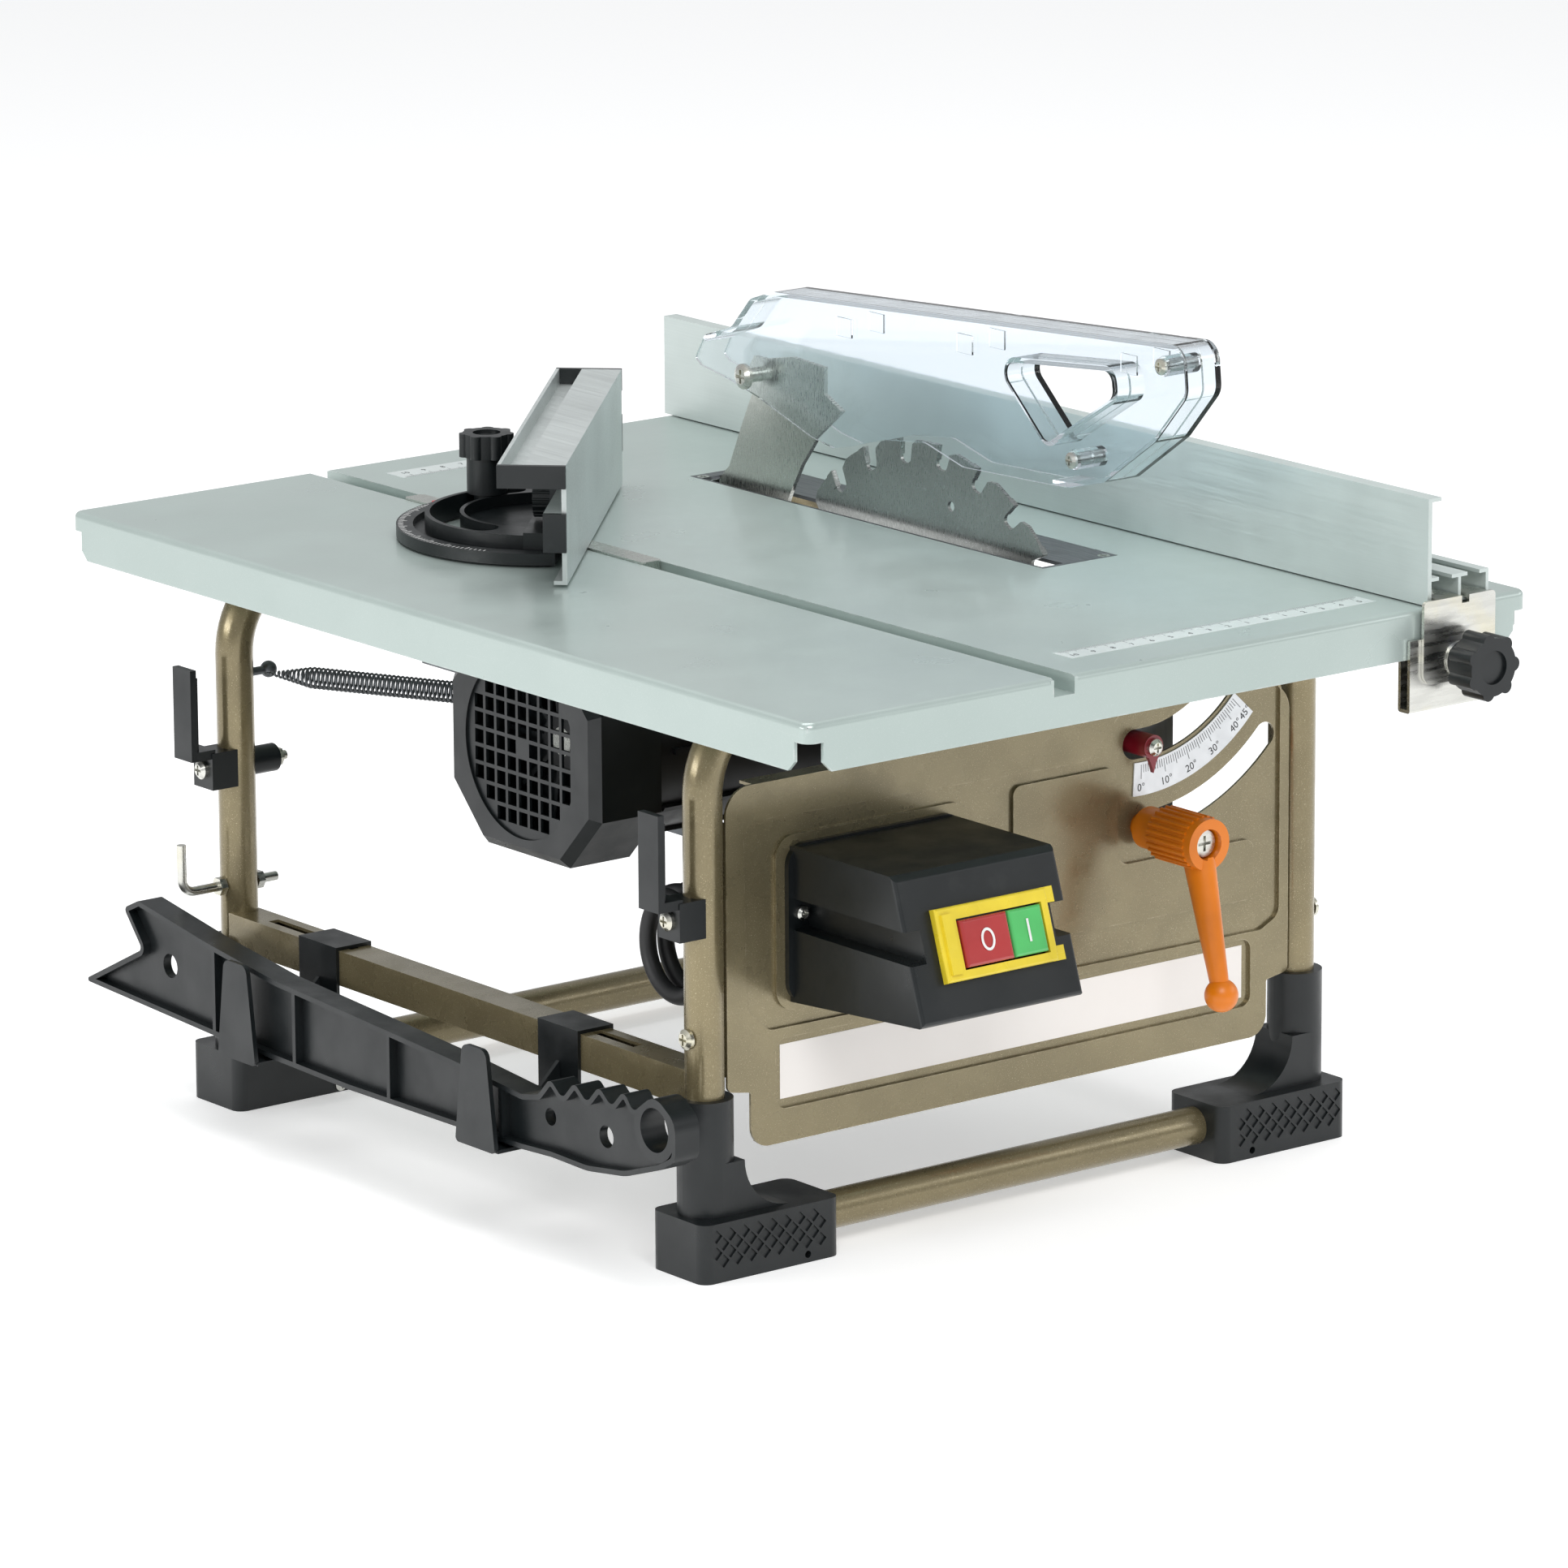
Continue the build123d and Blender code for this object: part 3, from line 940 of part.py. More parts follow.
def guard_half(skin_x, inner_x):
    """One clear moulding: a flat skin, a rim standing round it and a lined hand hole."""
    toward = 1 if inner_x > skin_x else -1
    depth = abs(inner_x - skin_x)
    with BuildSketch(side(skin_x)) as skin:
        with BuildLine() as edge:
            FilletPolyline(*GUARD_POINTS, radius=GUARD_RADII, close=True)
        make_face(edge.edges())
    extrude(skin.sketch, amount=toward * depth)
    with BuildSketch(side(skin_x + toward * GUARD_WALL)) as hollow:
        with BuildLine() as edge:
            FilletPolyline(*GUARD_POINTS, radius=GUARD_RADII, close=True)
        make_face(edge.edges())
        offset(amount=-GUARD_WALL, mode=Mode.REPLACE)
        with BuildLine() as edge:
            FilletPolyline(*HANDLE_POINTS, radius=7, close=True)
        make_face(edge.edges(), mode=Mode.SUBTRACT)
        with Locations(*GUARD_SCREWS_YZ):
            Circle(4.2, mode=Mode.SUBTRACT)
    extrude(hollow.sketch, amount=toward * depth, mode=Mode.SUBTRACT)
    outline(RIM_OPENING, side(skin_x + toward * GUARD_WALL), toward * depth, mode=Mode.SUBTRACT)
    with BuildSketch(side(skin_x - toward)) as hand_hole:
        with BuildLine() as edge:
            FilletPolyline(*HANDLE_POINTS, radius=7, close=True)
        make_face(edge.edges())
        offset(amount=-GUARD_WALL, mode=Mode.REPLACE)
    extrude(hand_hole.sketch, amount=toward * (depth + 2), mode=Mode.SUBTRACT)
    for y, z in GUARD_SCREWS_YZ:
        bar_x((GUARD_X[0] - 1, GUARD_X[3] + 1), y, z, 1.7, mode=Mode.SUBTRACT)
    bar_x((GUARD_X[0] - 1, GUARD_X[3] + 1), GUARD_PIVOT[0], GUARD_PIVOT[1], 3.0, mode=Mode.SUBTRACT)
    for y, z in CLIP_YZ:
        clip_x = sorted((skin_x, skin_x - toward * 0.8))
        block(clip_x, (y - 5, y + 5), (z - 8, z))


with BuildPart(datum) as guard_left:
    guard_half(GUARD_X[0], GUARD_X[1])
save(guard_left, "guard_left")

with BuildPart(datum) as guard_right:
    guard_half(GUARD_X[3], GUARD_X[2])
save(guard_right, "guard_right")

with BuildPart(datum) as guard_screws:
    for y, z in GUARD_SCREWS_YZ:
        pan_screw(Location((GUARD_X[0], y, z), (0, -90, 0)), 3.4, 2.0, 1.7, GUARD_X[3] - GUARD_X[0] - 2)
    pan_screw(Location((GUARD_X[0], *GUARD_PIVOT), (0, -90, 0)), 5.5, 2.6, 3.0, GUARD_X[3] - GUARD_X[0] + 6)
    hex_prism(facing_right(GUARD_X[3], *GUARD_PIVOT), 10, 4)
save(guard_screws, "guard_screws")

# ================================================================ rip fence
FENCE_Y = (0.0, 506.5)
FENCE_GAP = 0.6
FENCE_POINTS = (
    (318, FENCE_GAP), (351, FENCE_GAP), (351, 12), (346, 12), (346, 10.5), (349.5, 10.5), (349.5, 2.1),
    (336, 2.1), (336, 10.5), (339.5, 10.5), (339.5, 12), (331, 12), (331, 10.5), (334.5, 10.5),
    (334.5, 2.1), (320, 2.1), (320, 10.5), (324, 10.5), (324, 12), (320, 12), (320, 43.2), (325, 43.2),
    (325, 44.7), (318, 44.7),
)
RIVETS = ((327.0, 10.0), (342.5, 10.0))
RIVET_R = 2.4
with BuildPart(datum) as fence_rail:
    outline(FENCE_POINTS, front(FENCE_Y[1]), FENCE_Y[1] - FENCE_Y[0])
    for x, y in RIVETS:
        bar_z(x, y, (0, 3), RIVET_R, mode=Mode.SUBTRACT)
save(fence_rail, "fence_rail")

BRACKET_Y = (-3.6, -2.1)
TAB_Z = (2.1, 3.6)
HOOK_X = (307.0, 345.0)
HOOK_LOW = -42.0
with BuildPart(datum) as fence_bracket:
    bracket_points = ((313, TAB_Z[1]), (351.7, TAB_Z[1]), (351.7, -31), (313, -31))
    soft_outline(bracket_points, (2, 2, 5, 5), front(BRACKET_Y[1]), BRACKET_Y[1] - BRACKET_Y[0])
    for x in ((321.0, 333.4), (337.4, 348.4)):
        block(x, (BRACKET_Y[0] + 0.5, 22.0), TAB_Z)
    block((333.4, 337.4), (BRACKET_Y[0] - 1, BRACKET_Y[1] + 1), (0.5, 5), mode=Mode.SUBTRACT)
    for x, y in RIVETS:
        bar_z(x, y, (0, 6), RIVET_R, mode=Mode.SUBTRACT)
    bar_y(FENCE_KNOB[0], (-10, 0), FENCE_KNOB[1], 3.0 + RUN, mode=Mode.SUBTRACT)
save(fence_bracket, "fence_bracket")

with BuildPart(datum) as fence_rivets:
    for x, y in RIVETS:
        bar_z(x, y, (FENCE_GAP, TAB_Z[1]), RIVET_R)
        with Locations((x, y, TAB_Z[1])):
            Cone(4.0, 2.4, 1.6, align=(Align.CENTER, Align.CENTER, Align.MIN))
save(fence_rivets, "fence_rivets")

with BuildPart(datum) as fence_clamp:
    block(HOOK_X, (-2.0, -0.5), (HOOK_LOW, -12))
    block(HOOK_X, (-2.0, 5.0), (HOOK_LOW, HOOK_LOW + 1.5))
    block(HOOK_X, (3.5, 5.0), (HOOK_LOW, -10.5))
    fillet(fence_clamp.edges().filter_by(Axis.X).group_by(Axis.Z)[0], radius=1.2)
    bar_y(FENCE_KNOB[0], (-10, 10), FENCE_KNOB[1], 3.0 + RUN, mode=Mode.SUBTRACT)
save(fence_clamp, "fence_clamp")


def lobed_head(plane, radius, height, lobes, bore):
    """Moulded clamping knob with a lobed edge, standing on a plane."""
    with BuildSketch(plane) as head:
        Circle(radius * 0.86)
        with PolarLocations(radius * 0.78, lobes):
            Circle(radius * 0.22)
    extrude(head.sketch, amount=height)
    with BuildSketch(plane.offset(height - 1.5)) as dish:
        Circle(radius * 0.5)
    extrude(dish.sketch, amount=2, mode=Mode.SUBTRACT)
    with BuildSketch(plane) as hole:
        Circle(bore)
    extrude(hole.sketch, amount=height * 0.6, mode=Mode.SUBTRACT)


FENCE_SCREW_R = 2.4
FENCE_KNOB_Y = (-24.0, -5.0)
with BuildPart(datum) as fence_knob:
    bar_y(FENCE_KNOB[0], (FENCE_KNOB_Y[1] - 8, FENCE_KNOB_Y[1]), FENCE_KNOB[1], 8.0)
    knob_plane = Plane(
        origin=point(FENCE_KNOB[0], FENCE_KNOB_Y[1] - 6, FENCE_KNOB[1]), x_dir=(1, 0, 0), z_dir=(0, -1, 0)
    )
    lobed_head(knob_plane, 14.0, FENCE_KNOB_Y[1] - 6 - FENCE_KNOB_Y[0], 7, FENCE_SCREW_R)
    bore_y = (FENCE_KNOB_Y[1] - 10, FENCE_KNOB_Y[1] + 1)
    bar_y(FENCE_KNOB[0], bore_y, FENCE_KNOB[1], FENCE_SCREW_R, mode=Mode.SUBTRACT)
save(fence_knob, "fence_knob")

with BuildPart(datum) as fence_screw:
    bar_y(FENCE_KNOB[0], (FENCE_KNOB_Y[1] - 10, 9), FENCE_KNOB[1], FENCE_SCREW_R)
    bar_y(FENCE_KNOB[0], (FENCE_KNOB_Y[1], BRACKET_Y[0] - 0.1), FENCE_KNOB[1], 7.5)
save(fence_screw, "fence_screw")

# ================================================================ mitre gauge
MITRE_BAR_X = (122.7, 132.8)
MITRE_BAR_Y = (265.0, 434.0)
MITRE_BAR_Z = (-SLOT_DEPTH + 0.1, 0.9)
HEAD_Z = (1.0, 6.0)
HEAD_R = 64.0
POST_R = 5.8
FENCE_ANGLE = 46.5
FENCE_OFFSET = 19.5
FENCE_LENGTH = 200.0
FENCE_SHIFT = 0.0             # middle of the fence face along its own length from the pivot
FACE_Z = (1.2, 51.0)
mitre = Plane(origin=point(*MITRE_PIVOT, 0)).rotated((0, 0, FENCE_ANGLE))


def mitre_block(along, depth, z, mode=Mode.ADD):
    """Box in the gauge's own directions: along the fence, out of its face, up."""
    with BuildSketch(mitre.offset(z[0])) as face:
        with Locations(((along[0] + along[1]) / 2, (depth[0] + depth[1]) / 2)):
            Rectangle(along[1] - along[0], depth[1] - depth[0])
    extrude(face.sketch, amount=z[1] - z[0], mode=mode)


with BuildPart(datum) as mitre_bar:
    block(MITRE_BAR_X, MITRE_BAR_Y, MITRE_BAR_Z)
    chamfer(mitre_bar.edges().filter_by(Axis.Z), length=1.5)
    bar_z(MITRE_PIVOT[0], MITRE_PIVOT[1], (0.5, HEAD_Z[1] + 0.8), 3.0)
    bar_z(MITRE_PIVOT[0], MITRE_KNOB_Y, (0.5, 16.0), 3.0)
save(mitre_bar, "mitre_bar")

POINTER_SCREW_Y = 407.5
with BuildPart(datum) as mitre_pointer:
    pointer_points = (
        (123.2, 414), (132, 414), (132, 405.5), (129, 403.5), (127.6, 401.2), (126.2, 403.5), (123.2, 405.5),
    )
    outline(pointer_points, level(MITRE_BAR_Z[1]), 1.6)
    outline(((124.5, 404.5), (130.7, 404.5), (129, 403), (127.6, 401.2), (126.2, 403)), level(2.4), 1.0)
    bar_z(MITRE_PIVOT[0], POINTER_SCREW_Y, (2.0, 3.8), 3.0)
    block((125.6, 129.6), (POINTER_SCREW_Y - 0.5, POINTER_SCREW_Y + 0.5), (3.0, 4), mode=Mode.SUBTRACT)
    block((127.1, 128.1), (POINTER_SCREW_Y - 2, POINTER_SCREW_Y + 2), (3.0, 4), mode=Mode.SUBTRACT)
save(mitre_pointer, "mitre_pointer")

SWING = (-105.0, 15.0)        # swing of the head about the bar
KNOB_ARC_R = MITRE_KNOB_Y - MITRE_PIVOT[1]
FLAT_DEPTH = -10.0            # straight side of the head, where the fence is bolted
WALL_DEPTH = (-10.0, -6.5)
WALL_TOP = 34.0
SCREW_ALONG = (-28.0, 30.0)
SCREW_Z = 23.0
with BuildPart(datum) as mitre_head:
    with BuildSketch(level(HEAD_Z[0])) as disc:
        with Locations(MITRE_PIVOT):
            Circle(HEAD_R)
    extrude(disc.sketch, amount=HEAD_Z[1] - HEAD_Z[0])
    with BuildSketch(level(HEAD_Z[0] + 2.2)) as dish:
        with Locations(MITRE_PIVOT):
            Circle(HEAD_R - 7)
            Circle(52, mode=Mode.SUBTRACT)
    extrude(dish.sketch, amount=5, mode=Mode.SUBTRACT)
    with BuildSketch(level(HEAD_Z[1])) as arc_wall:
        with Locations(MITRE_PIVOT):
            Circle(52)
            Circle(35.5, mode=Mode.SUBTRACT)
    extrude(arc_wall.sketch, amount=5)
    mitre_block((-80, 80), (-80, FLAT_DEPTH), (0, 14), mode=Mode.SUBTRACT)
    mitre_block((-56, 56), (FLAT_DEPTH, 4), (HEAD_Z[0], HEAD_Z[1] + 7))
    mitre_block((-50, 50), WALL_DEPTH, (HEAD_Z[0], WALL_TOP))
    swing = (90 - SWING[1], 90 - SWING[0])
    arc_slot(level(0), MITRE_PIVOT, KNOB_ARC_R, POST_R + 0.5, swing, 14)
    bar_z(MITRE_PIVOT[0], MITRE_PIVOT[1], (0, 20), 3.0 + RUN, mode=Mode.SUBTRACT)
    for along in SCREW_ALONG:
        screw_plane = Plane(origin=mitre.offset(SCREW_Z).origin, x_dir=mitre.x_dir, z_dir=mitre.y_dir)
        with BuildSketch(screw_plane) as hole:
            with Locations((along, 0)):
                Circle(2.5)
        extrude(hole.sketch, amount=30, both=True, mode=Mode.SUBTRACT)
save(mitre_head, "mitre_head")


def across(depth, height):
    """Upright plane parallel to the mitre fence; positive extrusion goes away from its face."""
    origin = mitre.from_local_coords((0, depth, height))
    return Plane(origin=origin, x_dir=mitre.x_dir, z_dir=mitre.y_dir)


FACE_DEPTH = -FENCE_OFFSET
FENCE_ALONG = (FENCE_SHIFT - FENCE_LENGTH / 2, FENCE_SHIFT + FENCE_LENGTH / 2)
EXTRUSION_WALL = 1.5
BOX_DEPTH = 17.0
BOX_H = 9.5
CHANNEL_DEPTH = 11.2
CHANNEL_H = 8.3
TSLOT_Z = (15.0, 31.0)
with BuildPart(datum) as mitre_fence:
    back = FACE_DEPTH + BOX_DEPTH
    wall = EXTRUSION_WALL
    top = FACE_Z[1]
    mitre_block(FENCE_ALONG, (FACE_DEPTH, FACE_DEPTH + 2), FACE_Z)
    mitre_block(FENCE_ALONG, (FACE_DEPTH, back), (top - BOX_H, top))
    mitre_block(FENCE_ALONG, (back - wall, back + CHANNEL_DEPTH), (top - CHANNEL_H, top))
    mitre_block(FENCE_ALONG, (FACE_DEPTH, FLAT_DEPTH), TSLOT_Z)
    mitre_block(FENCE_ALONG, (FACE_DEPTH, FACE_DEPTH + 5.5), (FACE_Z[0], FACE_Z[0] + 1.6))
    cut_along = (FENCE_ALONG[0] - 1, FENCE_ALONG[1] + 1)
    cut_z = (top - BOX_H + wall, top - wall)
    mitre_block(cut_along, (FACE_DEPTH + 2, back - wall), cut_z, mode=Mode.SUBTRACT)
    channel = (back, back + CHANNEL_DEPTH - wall)
    mitre_block(cut_along, channel, (top - CHANNEL_H + wall, top + 1), mode=Mode.SUBTRACT)
    slot_wide = (TSLOT_Z[0] + wall, TSLOT_Z[1] - wall)
    mitre_block(cut_along, (FACE_DEPTH + 2, FLAT_DEPTH - wall), slot_wide, mode=Mode.SUBTRACT)
    slot_neck = (SCREW_Z - 4, SCREW_Z + 4)
    mitre_block(cut_along, (FACE_DEPTH + 2, FLAT_DEPTH + 1), slot_neck, mode=Mode.SUBTRACT)
save(mitre_fence, "mitre_fence")

CAP_T = 2.5
with BuildPart(datum) as mitre_end_caps:
    for along in ((FENCE_ALONG[0] - CAP_T, FENCE_ALONG[0]), (FENCE_ALONG[1], FENCE_ALONG[1] + CAP_T)):
        mitre_block(along, (FACE_DEPTH, back + CHANNEL_DEPTH), (top - BOX_H, top))
        mitre_block(along, (FACE_DEPTH, FLAT_DEPTH), (TSLOT_Z[0], TSLOT_Z[1]))
save(mitre_end_caps, "mitre_end_caps")

CLAMP_R = 9.0
with BuildPart(datum) as mitre_clamp_screws:
    for along in SCREW_ALONG:
        place = across(WALL_DEPTH[1], SCREW_Z)
        with BuildSketch(place) as knurl:
            with Locations((along, 0)):
                Circle(CLAMP_R - 0.6)
            for i in range(18):
                with Locations(polar((along, 0), CLAMP_R - 0.6, 20 * i)):
                    Circle(0.6)
        extrude(knurl.sketch, amount=9)
        with BuildSketch(place) as shank:
            with Locations((along, 0)):
                Circle(2.4)
        extrude(shank.sketch, amount=-(WALL_DEPTH[1] - FACE_DEPTH - 2.5))
        with BuildSketch(across(FLAT_DEPTH - wall, SCREW_Z)) as nut:
            with Locations((along, 0)):
                Rectangle(12, 12.4)
        extrude(nut.sketch, amount=-3)
save(mitre_clamp_screws, "mitre_clamp_screws")

KNOB_TOP = 37.0
with BuildPart(datum) as mitre_knob:
    post_plane = Plane(origin=point(MITRE_PIVOT[0], MITRE_KNOB_Y, KNOB_TOP - 10))
    bar_z(MITRE_PIVOT[0], MITRE_KNOB_Y, (HEAD_Z[1] + 5.3, KNOB_TOP - 8), 8.6)
    bar_z(MITRE_PIVOT[0], MITRE_KNOB_Y, (MITRE_BAR_Z[1] + 0.2, HEAD_Z[1] + 6), POST_R)
    lobed_head(post_plane, 11.8, 10, 7, 3.0)
    bar_z(MITRE_PIVOT[0], MITRE_KNOB_Y, (0, 20), 3.0 + RUN, mode=Mode.SUBTRACT)
save(mitre_knob, "mitre_knob")

# ================================================================ push stick and its hooks
STICK_X = (-14.0, -2.0)
STICK_WEB = 4.0
STICK_RIBS = (384.7, 326.6, 259.8, 182.7)
STICK_HOLES = ((422.4, -181.0, 5.2), (117.1, -187.5, 4.6), (154.0, -187.5, 3.6))   # y, z, radius
RING = (80.5, -176.0)
GRIP_BUMPS = 4
GRIP_PITCH = 16.2
STICK_BACK = ((450.7, -160.7), (439.8, -155.6), (390.7, -163.3), (340, -169.5), (215, -176.5), (168, -180.5))
STICK_BELLY = (
    (77, -191.5), (99.6, -199.2), (124.8, -202.6), (148.5, -202.2), (169.1, -203.4), (288, -204.9),
    (380, -202.9), (482.2, -198.6), (437.5, -176.3),
)


def stick_outline():
    """Push stick outline: straight back, finger bumps, end ring, belly and the notched mouth."""
    points = list(STICK_BACK)
    radii = [2, 2, 60, 60, 60, 6]
    for i in range(GRIP_BUMPS):
        valley_y = 157 - GRIP_PITCH * i
        points += [(valley_y, -178.2 + 1.9 * i), (valley_y - GRIP_PITCH / 2, -169.8 + 1.9 * i)]
        radii += [3.2, 3.2]
    points += [(94, -171.5), (80.5, -161.5), (67, -170), (67, -186)]
    radii += [3, 9, 9, 6]
    points += list(STICK_BELLY)
    radii += [6, 30, 40, 40, 40, 60, 60, 1, 2]
    return points, radii


with BuildPart(datum) as push_stick:
    stick_points, stick_radii = stick_outline()
    soft_outline(stick_points, stick_radii, side(STICK_X[0]), STICK_X[1] - STICK_X[0])
    for face_x, direction in ((STICK_X[0], 1), (STICK_X[1], -1)):
        with BuildSketch(side(face_x)) as pocket:
            with BuildLine() as edge:
                FilletPolyline(*stick_points, radius=stick_radii, close=True)
            make_face(edge.edges())
            offset(amount=-2.2, mode=Mode.REPLACE)
            with Locations(RING):
                Circle(13, mode=Mode.SUBTRACT)
            for y in STICK_RIBS:
                with Locations((y, -185)):
                    Rectangle(2.2, 60, mode=Mode.SUBTRACT)
        depth = (STICK_X[1] - STICK_X[0] - STICK_WEB) / 2
        extrude(pocket.sketch, amount=direction * depth, mode=Mode.SUBTRACT)
    bar_x((STICK_X[0] - 1, STICK_X[1] + 1), RING[0], RING[1], 9.0, mode=Mode.SUBTRACT)
    for y, z, r in STICK_HOLES:
        bar_x((STICK_X[0] - 1, STICK_X[1] + 1), y, z, r, mode=Mode.SUBTRACT)
save(push_stick, "push_stick")

HOOK_Y = (360.0, 192.0)
HOOK_HALF = 13.5
HOOK_T = 1.5
HOOK_FLOOR = -205.5
with BuildPart(datum) as stick_hooks:
    rail_left, rail_right = LEG_X[0] - RAIL_W / 2, LEG_X[0] + RAIL_W / 2
    for y in HOOK_Y:
        width = (y - HOOK_HALF, y + HOOK_HALF)
        block((rail_left - HOOK_T, rail_right + HOOK_T), width, (RAIL_TOP, RAIL_TOP + HOOK_T))
        block((rail_right, rail_right + HOOK_T), width, (RAIL_TOP - RAIL_W, RAIL_TOP + HOOK_T))
        block((rail_left - HOOK_T, rail_left), width, (-200, RAIL_TOP + HOOK_T))
        block((-1.0, rail_left), width, (-200, -200 + HOOK_T))
        block((-1.0, -1.0 + HOOK_T), width, (HOOK_FLOOR - HOOK_T, -200 + HOOK_T))
        block((-18.5, -1.0 + HOOK_T), width, (HOOK_FLOOR - HOOK_T, HOOK_FLOOR))
        low = HOOK_FLOOR - HOOK_T
        plate = ((y - HOOK_HALF, low), (y + HOOK_HALF, low), (y + 8, -165), (y - 8, -165))
        soft_outline(plate, (2, 2, 4, 4), side(-20), 2.0)
        with BuildSketch(front(y + 1)) as gusset:
            with BuildLine() as edge:
                Polyline((0.5, -198.5), (rail_left - HOOK_T, -198.5), (rail_left - HOOK_T, -178), close=True)
            make_face(edge.edges())
        extrude(gusset.sketch, amount=2)
save(stick_hooks, "stick_hooks")

# ================================================================ cable hooks, storage rod, spring and cable
CABLE_HOOK_LEGS = (FRAME_Y[0], FRAME_Y[1])
HOOK_BLOCK_Z = (-109.0, -93.0)
HOOK_SPACER_END = 50.0
with BuildPart(datum) as cable_hooks:
    for y in CABLE_HOOK_LEGS:
        block((14.0, 27.0), (y - 7, y + 7), HOOK_BLOCK_Z)
        block((4.0, 16.0), (y - 6.5, y + 6.5), (-95.5, -91.5))
        block((4.0, 7.0), (y - 6.5, y + 6.5), (-95.5, -56))
        for rib in (-4.5, 3.0):
            block((5.0, 9.0), (y + rib, y + rib + 1.5), (-93, -60))
        bar_z(LEG_X[0], y, (-120, -80), TUBE_R, mode=Mode.SUBTRACT)
        bar_x((0, 60), y, HOOK_BOLT_Z, 2.0, mode=Mode.SUBTRACT)
    bar_x((LEG_X[0] + TUBE_R - 3, HOOK_SPACER_END), FRAME_Y[1], HOOK_BOLT_Z, 6.0)
    bar_z(LEG_X[0], FRAME_Y[1], (-120, -80), TUBE_R, mode=Mode.SUBTRACT)
    bar_x((0, 60), FRAME_Y[1], HOOK_BOLT_Z, 2.0, mode=Mode.SUBTRACT)
save(cable_hooks, "cable_hooks")

with BuildPart(datum) as hook_bolts:
    for y, length in ((FRAME_Y[0], LEG_X[0] - 16.0), (FRAME_Y[1], HOOK_SPACER_END - 8.0)):
        pan_screw(Location((14.0, y, HOOK_BOLT_Z), (0, -90, 0)), 4.0, 2.8, 2.0, length)
    hex_prism(facing_right(HOOK_SPACER_END, FRAME_Y[1], HOOK_BOLT_Z), 7, 3.2)
save(hook_bolts, "hook_bolts")

with BuildPart(datum) as storage_rod:
    with BuildLine(front(FRAME_Y[1])) as bend:
        FilletPolyline((50, STORAGE_Z), (2, STORAGE_Z), (2, STORAGE_Z + 21), radius=6)
    with BuildSketch(Plane(origin=bend.line @ 0, z_dir=bend.line % 0)) as section:
        Circle(2.0)
    sweep(section.sketch, path=bend.line)
    for x in (LEG_X[0] - TUBE_R - 3.2, LEG_X[0] + TUBE_R):
        hex_prism(facing_right(x, FRAME_Y[1], STORAGE_Z), 7, 3.2)
save(storage_rod, "storage_rod")

SPRING_HOOK = (46.4, -62.6)   # x, z of the ball on the rear leg
SPRING_END = (97.0, 300.0, -60.5)
with BuildPart(datum) as spring_post:
    bar_x((36.0, SPRING_HOOK[0]), FRAME_Y[1], SPRING_HOOK[1], 1.8)
    with Locations((SPRING_HOOK[0] + 2, FRAME_Y[1], SPRING_HOOK[1])):
        Sphere(3.6)
    bar_z(LEG_X[0], FRAME_Y[1], (-80, -45), TUBE_R, mode=Mode.SUBTRACT)
save(spring_post, "spring_post")

with BuildPart(datum) as counter_spring:
    start = Vector(*point(SPRING_HOOK[0] - 3, FRAME_Y[1] - 6, SPRING_HOOK[1]))
    finish = Vector(*point(*SPRING_END))
    span = finish - start
    along = Plane(origin=start, z_dir=span)
    with BuildSketch(along) as tube:
        Circle(4.4)
        Circle(3.2, mode=Mode.SUBTRACT)
    extrude(tube.sketch, amount=span.length - 5)
save(counter_spring, "counter_spring")

CABLE_R = 3.5
with BuildPart(datum) as supply_cable:
    coil = Helix(pitch=9.0, height=22.5, radius=21.0, center=(45.5, 150, -126), direction=(1, 0, 0))
    with BuildSketch(Plane(origin=coil @ 0, z_dir=coil % 0)) as section:
        Circle(CABLE_R)
    sweep(section.sketch, path=coil, is_frenet=True)
save(supply_cable, "supply_cable")

with BuildPart(datum) as frame_screws:
    pan_screw(Location((LEG_X[0] - TUBE_R, FRAME_Y[0], PANEL_SCREW_Z), (0, -90, 0)), 4.2, 2.8, 2.0, 19.0)
    pan_screw(Location((LEG_X[1] + TUBE_R, FRAME_Y[0], PANEL_SCREW_Z), (0, 90, 0)), 4.2, 2.8, 2.0, 19.0)
    for x in (75.0, 149.0):
        pan_screw(Location((x, FLANGE_Y[0], -106.5), (90, 0, 0)), 3.0, 2.2, 1.5, 8.0)
    for leg, inward in ((LEG_X[0], 1), (LEG_X[1], -1)):
        x = leg + inward * FOOT_SCREW[0]
        z = FOOT_SCREW[1]
        pan_screw(Location((x, FRAME_Y[0] + FOOT_HALF_W, z), (-90, 0, 0)), 2.8, 2.0, 1.5, 30.0)
        pan_screw(Location((x, FRAME_Y[1] - FOOT_HALF_W, z), (90, 0, 0)), 2.8, 2.0, 1.5, 30.0)
save(frame_screws, "frame_screws")
